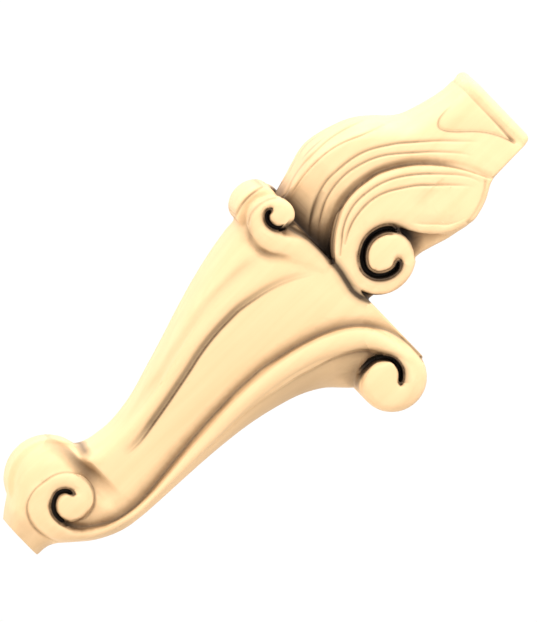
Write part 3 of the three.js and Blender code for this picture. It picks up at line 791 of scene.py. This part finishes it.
# %% Cut the flutes
thin_cut = [(-3, 0), (-1.5, -0.15), (-0.7, -0.5), (0, -1), (0.5, -0.4), (0.9, 0.1), (1.8, 0.2), (3.2, 0)]
thin_painted_shade = [(-2.6, 0), (-1.2, 0.1), (-0.6, 0.26), (0, 0.64), (0.5, 0.36), (0.9, 0)]
long_fade = ((0, 0), (0.12, 0.6), (0.3, 1), (0.9, 1), (1, 0.5))
for flute in thin_flutes:
    gouge(carving, flute, thin_cut, fade=long_fade, painted_shade=thin_painted_shade)
for flute in front_flutes:
    gouge(
        carving, flute, [(-3, 0), (-1, 0.1), (0, -1), (1, 0.1), (3, 0)],
        fade=long_fade, facing=0.08, inside=FRONT_PLAIN,
        painted_shade=[(-1.8, 0), (-0.7, 0.1), (0, 0.32), (0.7, 0.05), (1.2, 0)],
    )
gouge(
    carving, flute_d,
    [(-8, 0), (-5, -0.5), (-3, -1.4), (-1.5, -2.2), (-0.4, -2.7), (0.3, -1.8), (0.9, -0.3), (2, 0.2), (4, 0)],
    fade=((0, 0.4), (0.2, 0.7), (0.4, 1), (0.9, 1), (1, 0.8)),
    painted_shade=[
        (-4.8, 0), (-3.4, 0.16), (-2, 0.34), (-1, 0.42), (-0.5, 0.6), (0, 0.8), (0.5, 0.5), (0.9, 0.1),
        (1.3, 0.05), (1.8, 0.22), (2.3, 0),
    ],
)

# %% The leaf's lip and its volute
lobe_edge = [(30, -36.5), (33, -40), (36, -45), (38.5, -51), (40, -57), (40.5, -62)]
gouge(
    carving, lobe_edge, [(-2, 0), (-0.7, -0.4), (0, -0.9), (0.7, -0.4), (2, 0)], facing=0.08,
    painted_shade=[(-1.4, 0), (0, 0.28), (1.4, 0)],
)
lobe_fold = [(38, -60), (36, -66), (33, -72), (28, -77), (22, -83), (16, -88)]
gouge(
    carving, lobe_fold, [(-3, -0.6), (-1, -0.5), (0, -0.8), (0.7, 0), (3, 0.2), (5, 0)],
    fade=((0, 0), (0.3, 1), (0.8, 0.8), (1, 0)), facing=0.1,
    painted_shade=[(-7, 0), (-4.5, 0.12), (-1.2, 0.1), (-0.5, 0.14), (0, 0.36), (0.6, 0)],
)
leaf_groove = [
    (17, -96.2), (12, -98.6), (7.8, -103.3), (5.6, -111), (6.6, -118), (11.3, -124.8), (18, -128.6),
    (24.8, -127), (29.5, -121.3), (30.8, -115), (28.6, -110),
]
gouge(
    carving, leaf_groove, [(-6, 0), (-4, -0.5), (-2.4, -1.6), (0, -2.6), (2.4, -1.6), (4, -0.5), (6, 0)],
    fade=((0, 0.2), (0.1, 1), (1, 1)),
)
# Painted shade in the leaf's hook and under its lip.
paint_shade_along(
    [(33, -100), (29, -97), (24, -95.2), (19, -95.2), (13.5, -97.4), *leaf_groove[2:]],
    [
        (-8, 0), (-5.5, 0.1), (-3.6, 0.32), (-2.2, 0.72), (-1.4, 0.95),
        (1.4, 0.94), (2.1, 0.6), (3, 0.16), (4, 0),
    ],
    ((0, 0.1), (0.06, 0.5), (0.14, 0.9), (0.2, 1), (1, 1)),
)
paint_shade_along(
    [
        (5, -117), (8, -122.8), (13, -127.6), (19, -130.6), (26, -129.2), (31.2, -123.6),
        (32.7, -116), (31.5, -110),
    ],
    [(-4.5, 0), (-3, 0.14), (-1.5, 0.36), (0, 0.7), (1.5, 0.9), (2.5, 0)],
    ((0, 0), (0.25, 0.9), (0.9, 1), (1, 0.4)),
)
LEAF_HALF_WIDTH = 27
# Painted shade under the leaf's foot, where it tucks in over the shoulder.
under_leaf = [(-52, -139.3), (-38, -139.5), (-25, -139.8), (-10, -139.8), (2, -140)]
paint_shade_along(
    under_leaf, [(-1, 0), (0, 0.93), (2, 0.86), (5, 0.68), (9, 0.42), (13, 0.18), (18, 0)],
    ((0, 0.8), (0.2, 1), (0.7, 1), (0.9, 0.8), (1, 0.4)), within=LEAF_HALF_WIDTH,
)
paint_shade_along(
    flute_b[13:], [(-1.6, 0), (-0.7, 0.4), (0, 0.8), (1, 0.66), (2.4, 0.36), (5, 0)],
    ((0, 0), (0.3, 0.6), (0.6, 1), (1, 1)), within=LEAF_HALF_WIDTH,
)
print("stained lines so far:", len(painted_shade_lines))

# %% [markdown]
# ## Hooks and rims
# Where a scroll turns in on itself, the cut widens into a hook and its rim stands sharp. The channels above
# took out the depth. Here the same lines get soft sides, fine rims and painted shade in the deep cut.

# %% The small scroll's stem and the front roll's rims
stem_valley = [(-56, -158), (-54, -162), (-48, -166.5), (-40, -168), (-32, -166), (-25, -161), (-19, -157)]
gouge(
    carving, stem_valley, [(-8, 0), (-5, -0.7), (-2, -2), (-0.6, -2.6), (0.6, -1.5), (1.6, -0.2), (3, 0)],
    fade=((0, 0), (0.2, 0.8), (0.6, 1), (0.85, 0.6), (1, 0)), facing=0.1,
    painted_shade=[(-3, 0), (-1, 0.2), (0.2, 0.42), (1.4, 0.36), (3, 0.08), (4, 0)],
)
for rim, depth in (
    ([(-54, -138), (-57, -144), (-58, -151), (-57, -157), (-54, -162)], 0.9),
    ([(-64.5, -137), (-65.8, -145), (-66, -153), (-64.8, -160), (-63, -165)], 1.2),
):
    gouge(
        carving, rim, [(-2.2, 0), (-0.8, -0.3), (0, -depth), (0.8, -0.3), (2.2, 0)], facing=0.08,
        painted_shade=[(-1.6, 0), (0, 0.34), (1.6, 0)],
    )

# %% The hooks of the back scroll and the small scroll
# The hooks' profile runs from the eye, or from the middle of the coil, outwards.
hook_cut = [(-3, 0), (-2, -0.3), (-0.8, -1), (0, -1.6), (1.6, -1.6), (3.2, -0.5), (5.5, 0)]
back_hook = [
    (62.8, -174), (62.6, -168), (63.2, -164), (65.4, -160), (70.4, -155.9), (77, -156.2), (83.5, -162.5),
]
gouge(carving, back_hook, hook_cut, fade=((0, 0), (0.2, 0.8), (0.35, 1), (1, 1)))
# Painted shade in the back scroll's hook and beside its eye.
paint_shade_along(
    back_hook,
    [(-1.8, 0), (-1.2, 0.4), (-0.6, 0.88), (1.4, 0.92), (2.4, 0.62), (3.8, 0.3), (5.5, 0.1), (7.5, 0)],
)
paint_shade_along(
    [(69, -184.8), (65.8, -181.8), (63.8, -177), (62.8, -172), (62.6, -166)],
    [(-1.4, 0), (-0.7, 0.5), (0, 0.92), (1.4, 0.82), (2.6, 0.56), (4, 0.42), (6.5, 0.34), (9, 0.2), (12, 0)],
    ((0, 0), (0.2, 0.6), (0.45, 1), (1, 1)),
)
back_shade = [(64, -184), (61.5, -178), (61, -170), (62.5, -163.5)]
paint_shade_along(
    back_shade, [(-0.8, 0), (0, 0.6), (2, 0.5), (5, 0.35), (9, 0.2), (16, 0)],
    ((0, 0.3), (0.3, 0.8), (1, 1)),
)
small_hook = [(-36.7, -146), (-40.5, -150.4), (-45.5, -151.2), (-49.3, -148.8), (-50, -145.5)]
gouge(carving, small_hook, hook_cut, fade=((0, 0.2), (0.2, 1), (1, 1)))
paint_shade_along(
    [(-34.8, -137.5), (-35.3, -141), *small_hook],
    [(-1.8, 0), (-1.1, 0.4), (-0.5, 0.86), (0.3, 0.95), (1.4, 0.84), (2.8, 0.4), (4.4, 0.14), (6, 0)],
)

# %% The foot's hook, lip and rims
foot_hook = [
    (13, -365), (9.5, -368.8), (5, -372.2), (-2, -374.5), (-8, -374.3), (-13, -370), (-15, -364.5),
    (-13, -360.3), (-8.5, -358),
]
gouge(
    carving, foot_hook, hook_cut, fade=((0, 0), (0.1, 0.5), (0.25, 0.75), (0.42, 1), (1, 0.9)),
    painted_shade=[(-2.4, 0), (-1.5, 0.34), (-0.7, 0.78), (0, 0.92), (1, 0.84), (2.2, 0.46), (3.4, 0.12), (4.6, 0)],
)
foot_lip = [
    (-46, -343.4), (-39, -341.4), (-33, -339.8), (-28, -339.4), (-22, -339.5), (-16, -339),
    (-10, -337.9), (-4, -337),
]
# Painted shade under the foot's lip, round the coil and along the sole.
paint_shade_along(
    foot_lip, [(-10, 0), (-7.5, 0.26), (-4.5, 0.54), (-2, 0.66), (-0.8, 0.52), (0, 0.14), (0.4, 0)],
    ((0, 0.3), (0.25, 0.65), (0.5, 1), (0.8, 0.8), (1, 0)),
)
paint_shade_along(
    [(-31, -332), (-28, -332.8), (-24.5, -333.8), (-20.5, -334.2), (-17, -334.4)],
    [(-4.6, 0), (-2.8, 0.42), (0, 0.72), (2.2, 0.42), (4.2, 0)], ((0, 0.2), (0.25, 1), (0.6, 1), (1, 0)),
)
paint_shade_along(
    [(27.5, -338), (25, -356), (16, -371), (6, -380), (-5, -385.5)],
    [(-5, 0), (-3, 0.12), (0, 0.18), (3, 0.12), (5, 0)], ((0, 0), (0.2, 1), (0.8, 1), (1, 0)),
)
paint_shade_along(
    [(-36, -397), (-22, -395), (-8, -394.5), (5, -391.5)], [(-8, 0.16), (0, 0.18), (3, 0.12), (6, 0)],
    ((0, 0.1), (0.3, 1), (1, 1)),
)
coil_rim = [
    (-15, -347), (-20, -350), (-25, -357), (-27, -366), (-27, -375), (-24, -383), (-18, -388), (-10, -390),
    (0, -388.5), (6, -386),
]
inner_rim = [(-16, -348), (-9, -345.7), (-2, -347), (4, -351.5), (7, -358), (7, -364), (3, -370)]
for rim, painted_dark in ((coil_rim, 0.5), (inner_rim, 0.55)):
    gouge(
        carving, rim, [(-1.6, 0), (-0.6, -0.3), (0, -0.9), (0.6, -0.3), (1.6, 0)], facing=0.1,
        fade=((0, 0.8), (0.3, 1), (0.8, 1), (1, 0.3)),
        painted_shade=[(-1.2, 0), (-0.5, painted_dark / 3), (0, painted_dark), (0.5, painted_dark / 3), (1.2, 0)],
    )
paint_shade_along(
    [(-17, -347.6), (-9, -345.8), (-2, -346.9), (4, -351.2)],
    [(-1.8, 0), (-1, 0.4), (-0.2, 0.6), (0.5, 0.4), (1.1, 0)], ((0, 0), (0.25, 0.8), (0.6, 1), (1, 0.2)),
)

# %% The sunk triangle under the cap
pocket_edge = [
    (-19, -17), (-19.3, -23), (-19, -27), (-18, -31), (-15, -34), (-11, -33), (-5, -28), (0, -22.5),
    (5, -17.5), (10, -13.7), (15, -10.7), (20, -8.6), (24, -7),
]
gouge(
    carving, pocket_edge, [(-1, 0), (-0.3, 0), (0.4, -1.2), (2, -0.9), (6, -0.5), (11, 0)],
    fade=((0, 0), (0.15, 0.5), (0.35, 1), (1, 0.9)),
    painted_shade=[(-1, 0), (-0.5, 0.28), (0, 0.7), (0.5, 0.42), (1.1, 0.08), (2.6, 0)],
)
cap_underline = [(-29, -6.8), (-20, -6.5), (-10, -6.4), (0, -6.4), (10, -6.5), (18, -6.8), (24.3, -7.2)]
gouge(
    carving, cap_underline, [(-1.2, 0), (-0.5, -0.2), (0, -0.9), (0.5, -0.8), (1.4, -0.3), (3.2, 0)],
    fade=((0, 0.3), (0.5, 0.6), (0.8, 1), (1, 1)), facing=0.1,
    painted_shade=[(-0.9, 0), (-0.4, 0.2), (0.1, 0.6), (0.6, 0.36), (1.6, 0.2), (3, 0)],
)

# %% [markdown]
# ## The ledge's wavy edge
# The ledge beside the leaf isn't ruled flat to its edge: near the small scroll the wood dips a few
# millimetres. The block was skinned with a flat ledge, as it is sawn, so the outer part is pressed down now,
# and the press fades out towards the middle and below.

# %% Lower the ledge's near edge
shoulder_edge = line_through([
    (-40, -145.5), (-37, -145), (-30, -143.5), (-25, -142), (-20, -140.9), (-10, -140.5), (0, -140.5),
    (8, -141), (15, -142.5),
])
DIP_STARTS_OUT = 21
DIP_EASES_OVER = 10
DIP_BOTTOM = -152
DIP_HEIGHT = 9
LEDGE_SKIN = 0.8
DIP_FRONT = -38
DIP_BACK = 6


def lower_shoulder(piece):
    points, _ = read_vertices(piece)
    across = seen(points)[:, 0]
    drop = SHOULDER - shoulder_edge(across)
    outer = np.clip((np.abs(points[:, 0]) - DIP_STARTS_OUT) / DIP_EASES_OVER, 0, 1)
    outer = outer * outer * (3 - 2 * outer)
    below = np.clip((points[:, 2] - DIP_BOTTOM) / DIP_HEIGHT, 0, 1)
    below *= points[:, 2] < SHOULDER + LEDGE_SKIN
    points[:, 2] -= np.where((across > DIP_FRONT) & (across < DIP_BACK), drop * outer * below, 0)
    write_vertices(piece, points)
    print("shoulder edge lowered by up to", round(float(drop.max()), 2), "mm")


lower_shoulder(carving)
# Painted shade in the gap under the volute, along the ledge's edge.
heel_line = [
    (-36, -145), (-30, -143.4), (-25, -141.9), (-20, -140.8), (-10, -140.3), (0, -140.5),
    (8, -141.3), (15, -142.8), (22, -144), (28, -143), (33, -140.8),
]
paint_shade_along(
    heel_line, [(-6, 0), (-3.4, 0.14), (-2, 0.42), (-1, 0.93), (1.2, 0.97), (2.2, 0.6), (4, 0.2), (6, 0)],
    ((0, 0.9), (0.93, 1), (1, 0.9)),
)

# %% [markdown]
# ## Painted shade along the carved lines
# The shade in a cut, on the wood beside it and under overhangs is painted into the colour. A brush would
# paint it on an image, but this material has none. So the lines that guided the gouge are asked again, and
# each vertex gets the strongest painted shade of the lines near it.

# %% How much painted shade the lines give a place
LINE_END = 0.001
LINE_END_REACH = 2


def painted_shade_at(points):
    """Painted shade from 0 to 1 at points, the strongest of the carved lines near them."""
    flat = seen(points)
    painted_dark = np.zeros(len(points))
    for line, keys, fade, beyond, within in painted_shade_lines:
        reach = max(abs(keys[0][0]), abs(keys[-1][0])) + 1
        low, high = np.min(line, axis=0) - reach, np.max(line, axis=0) + reach
        near = np.all((flat > low) & (flat < high), axis=1)
        out = np.abs(points[:, 0])
        picked = np.flatnonzero(near & (out >= beyond) & (out < within))
        distance, share = along_line(line, flat[picked])
        strength = np.interp(distance, *np.array(keys, float).T) * np.interp(share, *np.array(fade, float).T)
        strength *= (share > LINE_END) & (share < 1 - LINE_END) | (np.abs(distance) < LINE_END_REACH)
        if beyond:
            strength *= np.clip((out[picked] - beyond) / FADE_WIDTH, 0, 1)
        painted_dark[picked] = np.maximum(painted_dark[picked], strength)
    return painted_dark


print("stained lines:", len(painted_shade_lines))

# %% [markdown]
# ## Fewer triangles where the wood is plain
# The remesh made all triangles alike, far more than a plain flank needs. A decimate would thin by shape
# alone, and on a flat place it would leave too few vertices to hold the edge of the painted shade. So a
# vertex group tells it where the painted shade stays the same, and it thins there first.

# %% Find the plain places
SPREAD = 0.7
CONTRAST = 5
LEAST_PLAIN = 0.1
LEVELS = 10


def count_triangles(piece):
    return sum(len(face.vertices) - 2 for face in piece.data.polygons)


def edge_ends(piece):
    ends = np.empty(len(piece.data.edges) * 2, int)
    piece.data.edges.foreach_get("vertices", ends)
    return ends.reshape(-1, 2).T


apply_modifier(carving, "SMOOTH", factor=0.4, iterations=1)
points, _ = read_vertices(carving)
a, b = edge_ends(carving)
painted_dark = painted_shade_at(points)
change = np.zeros(len(points))
for _ in range(2):
    step = np.maximum(np.abs(painted_dark[a] - painted_dark[b]), np.maximum(change[a], change[b]) * SPREAD)
    np.maximum.at(change, a, step)
    np.maximum.at(change, b, step)
plainness = np.clip(1 - change * CONTRAST, LEAST_PLAIN, 1)
plain = carving.vertex_groups.new(name="plain")
for level in range(1, LEVELS + 1):
    picked = np.flatnonzero(np.round(plainness * LEVELS) == level)
    plain.add(picked.tolist(), level / LEVELS, "REPLACE")
print("share of plain vertices:", round(float((plainness == 1).mean()), 2))

# %% Thin the mesh and shade it smooth
MOST_TRIANGLES = 190000
GROUP_PULL = 0.002
triangles = count_triangles(carving)
apply_modifier(
    carving, "DECIMATE", ratio=min(1, MOST_TRIANGLES / triangles),
    vertex_group="plain", vertex_group_factor=GROUP_PULL,
)
carving.vertex_groups.clear()
select_only([carving])
bpy.ops.object.shade_smooth()
print("carved bracket:", triangles, "to", count_triangles(carving), "triangles")

# %% [markdown]
# ## How enclosed each place lies, for painted shade
# The hollows and the bottoms of the channels get painted shade in the colour. A material can't tell a hollow
# from a crest by itself, so the mesh is asked: from each vertex some rays are sent outwards, and the share
# that soon meets wood again is kept as an attribute that the material reads.

# %% Measure the hollows
RAYS = 28
REACH = 26.0
LIFT = 0.15
SOFTENINGS = 3


# Ray-cast occlusion, used only to paint shade into the wood's colour.
def measure_painted_occlusion(piece):
    points, normals = read_vertices(piece)
    tree = BVHTree.FromObject(piece, bpy.context.evaluated_depsgraph_get())
    turn_step = math.pi * (3 - math.sqrt(5))
    rank = (np.arange(RAYS) + 0.5) / RAYS
    spin = np.arange(RAYS) * turn_step
    flat = np.sqrt(rank)
    local = np.column_stack([flat * np.cos(spin), flat * np.sin(spin), np.sqrt(1 - rank)])
    side = np.cross(normals, np.where(np.abs(normals[:, 2:]) < 0.9, [[0, 0, 1]], [[1, 0, 0]]))
    side /= np.linalg.norm(side, axis=1)[:, None]
    other = np.cross(normals, side)
    hidden = np.zeros(len(points))
    starts = to_frame(points + normals * LIFT)
    for x, y, z in local:
        ways = side * x + other * y + normals * z
        for i, (start, way) in enumerate(zip(starts.tolist(), ways.tolist())):
            gap = tree.ray_cast(start, way, REACH * MM)[3]
            if gap is not None:
                hidden[i] += 1 - (gap / (REACH * MM)) ** 2
    hidden /= RAYS
    a, b = edge_ends(piece)
    for _ in range(SOFTENINGS):
        total, count = hidden.copy(), np.ones(len(hidden))
        np.add.at(total, a, hidden[b])
        np.add.at(total, b, hidden[a])
        np.add.at(count, a, 1)
        np.add.at(count, b, 1)
        hidden = total / count
    return hidden


painted_occlusion = measure_painted_occlusion(carving)
attribute = carving.data.attributes.new("painted_occlusion", "FLOAT", "POINT")
attribute.data.foreach_set("value", painted_occlusion.astype(np.float32))
# Painted shade along the carved lines, stored for the material.
painted_shade = carving.data.attributes.new("painted_shade", "FLOAT", "POINT")
painted_shade.data.foreach_set("value", painted_shade_at(read_vertices(carving)[0]).astype(np.float32))
print("hollows: deepest", round(float(painted_occlusion.max()), 2), "middling", round(float(np.median(painted_occlusion)), 3))

# %% [markdown]
# ## The wood
# Limewood is pale and close grained, so its figure is faint: long soft streaks up the block and a fine fleck.
# Painted shade darkens the hollows and cuts. All of it is made by nodes, from noise and from the two
# attributes above, so no picture of wood is needed.

# %% The limewood's streaks
wood = bpy.data.materials.new("pale_limewood")
wood.use_nodes = True
nodes, links = wood.node_tree.nodes, wood.node_tree.links
shader = nodes["Principled BSDF"]
shader.inputs["Roughness"].default_value = 0.5
shader.inputs["Specular IOR Level"].default_value = 0.2
place = nodes.new("ShaderNodeTexCoord")


def grain_noise(stretch, scale, detail):
    """Noise on the piece's own coordinates, drawn out along the block by a small Z scale."""
    mapping = nodes.new("ShaderNodeMapping")
    mapping.inputs["Scale"].default_value = stretch
    noise = nodes.new("ShaderNodeTexNoise")
    noise.inputs["Scale"].default_value = scale
    noise.inputs["Detail"].default_value = detail
    links.new(place.outputs["Object"], mapping.inputs["Vector"])
    links.new(mapping.outputs["Vector"], noise.inputs["Vector"])
    return noise.outputs["Fac"]


streaks = grain_noise((1, 1, 0.06), 160, 4)
fleck = grain_noise((1, 1, 0.25), 1400, 2)
tone = nodes.new("ShaderNodeValToRGB")
tone.color_ramp.elements[0].position = 0.3
tone.color_ramp.elements[0].color = (0.87, 0.575, 0.31, 1)
tone.color_ramp.elements[1].position = 0.7
tone.color_ramp.elements[1].color = (0.92, 0.62, 0.345, 1)
links.new(streaks, tone.inputs["Fac"])
print("tones of the streaks:", len(tone.color_ramp.elements))

# %% Painted shade in the hollows and cuts
depth = nodes.new("ShaderNodeAttribute")
depth.attribute_name = "painted_occlusion"
# Painted shade: the wood's colour is multiplied darker, towards near-black, where the occlusion is high.
occlusion_shade_ramp = nodes.new("ShaderNodeValToRGB")
occlusion_shade_ramp.color_ramp.elements[0].position = 0.08
occlusion_shade_ramp.color_ramp.elements[0].color = (1, 1, 1, 1)
occlusion_shade_ramp.color_ramp.elements[1].position = 0.75
occlusion_shade_ramp.color_ramp.elements[1].color = (0.05, 0.045, 0.04, 1)
middle_tone = occlusion_shade_ramp.color_ramp.elements.new(0.4)
middle_tone.color = (0.42, 0.37, 0.33, 1)
occlusion_shade_mix = nodes.new("ShaderNodeMix")
occlusion_shade_mix.data_type = "RGBA"
occlusion_shade_mix.blend_type = "MULTIPLY"
occlusion_shade_mix.inputs["Factor"].default_value = 1
links.new(depth.outputs["Fac"], occlusion_shade_ramp.inputs["Fac"])
links.new(tone.outputs["Color"], occlusion_shade_mix.inputs[6])
links.new(occlusion_shade_ramp.outputs["Color"], occlusion_shade_mix.inputs[7])
painted_shade_node = nodes.new("ShaderNodeAttribute")
painted_shade_node.attribute_name = "painted_shade"
painted_shade_mix = nodes.new("ShaderNodeMix")
painted_shade_mix.data_type = "RGBA"
# This near-black is painted shade in the cuts and under overhangs.
painted_shade_mix.inputs[7].default_value = (0.02, 0.012, 0.008, 1)
links.new(painted_shade_node.outputs["Fac"], painted_shade_mix.inputs["Factor"])
links.new(occlusion_shade_mix.outputs[2], painted_shade_mix.inputs[6])
links.new(painted_shade_mix.outputs[2], shader.inputs["Base Color"])
print("nodes so far:", len(nodes))

# %% A fine fleck to the touch
bump = nodes.new("ShaderNodeBump")
bump.inputs["Strength"].default_value = 0.06
bump.inputs["Distance"].default_value = 0.0005
links.new(fleck, bump.inputs["Height"])
links.new(bump.outputs["Normal"], shader.inputs["Normal"])
carving.data.materials.clear()
carving.data.materials.append(wood)
print("material:", wood.name, "with", len(nodes), "nodes")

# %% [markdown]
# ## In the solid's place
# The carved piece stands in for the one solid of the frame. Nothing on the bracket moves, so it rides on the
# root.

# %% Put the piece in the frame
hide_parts("corbel_bracket")
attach(carving, "root")
print("in the frame:", carving.name)

# %% [markdown]
# ## Floor, light and camera
# The bracket is shown as if fixed under a shelf, over a plain pale floor. The light is a soft studio dome
# that is brighter towards the picture's top, and one soft lamp near the cap, so that the carving reads.

# %% The floor
FLOOR_RADIUS = 1.2
FLOOR_LEVEL = -0.75
bpy.ops.mesh.primitive_circle_add(
    vertices=96, radius=FLOOR_RADIUS, fill_type="NGON", location=(0, 0, FLOOR_LEVEL)
)
floor = bpy.context.object
floor.name = "studio_floor"
paint = bpy.data.materials.new("pale_floor")
paint.use_nodes = True
paint.node_tree.nodes["Principled BSDF"].inputs["Base Color"].default_value = (0.8, 0.8, 0.78, 1)
paint.node_tree.nodes["Principled BSDF"].inputs["Roughness"].default_value = 0.9
floor.data.materials.append(paint)
print("floor", round(-FLOOR_LEVEL, 2), "m below the cap")

# %% The camera, far off and rolled so that the bracket lies at a slant
ROLL_UP = 0.7193
ROLL_AWAY = 0.6947
AIM_AWAY = -0.0061
AIM_LEVEL = -0.1934
DISTANCE = 12.0
FOCAL_LENGTH = 1107
away = Vector((math.sin(VIEW_TURN), math.cos(VIEW_TURN), 0))
up = Vector((0, 0, 1))
right = up * ROLL_UP + away * ROLL_AWAY
top = up * ROLL_AWAY - away * ROLL_UP
back = Vector((math.cos(VIEW_TURN), -math.sin(VIEW_TURN), 0))
aim = away * AIM_AWAY + up * AIM_LEVEL
lens = bpy.data.cameras.new("camera")
lens.lens = FOCAL_LENGTH
lens.sensor_width = 36
lens.clip_end = 40
camera = bpy.data.objects.new("camera", lens)
bpy.context.scene.collection.objects.link(camera)
camera.matrix_world = Matrix((right, top, back)).transposed().to_4x4()
camera.location = aim + back * DISTANCE
bpy.context.scene.camera = camera
print("camera at", [round(v, 2) for v in camera.location])

# %% The studio dome
BASE_LIGHT = 1.17
LEAN_TO_CAMERA = 0.14
LEAN_TO_TOP = 0.92
lean = back * LEAN_TO_CAMERA + top * LEAN_TO_TOP
world = bpy.data.worlds.new("studio_dome")
bpy.context.scene.world = world
world.use_nodes = True
dome = world.node_tree
direction = dome.nodes.new("ShaderNodeTexCoord")
dot = dome.nodes.new("ShaderNodeVectorMath")
dot.operation = "DOT_PRODUCT"
dot.inputs[1].default_value = lean
strength = dome.nodes.new("ShaderNodeMath")
strength.operation = "ADD"
strength.inputs[1].default_value = BASE_LIGHT
dome.links.new(direction.outputs["Generated"], dot.inputs[0])
dome.links.new(dot.outputs["Value"], strength.inputs[0])
dome.links.new(strength.outputs["Value"], dome.nodes["Background"].inputs["Strength"])
dome.nodes["Background"].inputs["Color"].default_value = (1, 1, 1, 1)
bpy.context.scene.view_settings.view_transform = "Standard"
print("dome: strength", BASE_LIGHT, "leaning by", round(lean.length, 2))

# %% A soft lamp near the cap
SOFTBOX_POWER = 0.85
SOFTBOX_SIZE = 0.3
COOL_WHITE = (0.93, 0.98, 1)
softbox_at = Vector((0.27, -0.06, 0.25))
neck_middle = Vector((0, 0, -0.05))
softbox = bpy.data.lights.new("softbox", "AREA")
softbox.energy = SOFTBOX_POWER
softbox.size = SOFTBOX_SIZE
softbox.color = COOL_WHITE
lamp = bpy.data.objects.new("softbox", softbox)
bpy.context.scene.collection.objects.link(lamp)
lamp.location = softbox_at
lamp.rotation_euler = (neck_middle - softbox_at).to_track_quat("-Z", "Y").to_euler()
print("softbox", round((neck_middle - softbox_at).length, 2), "m from the neck")
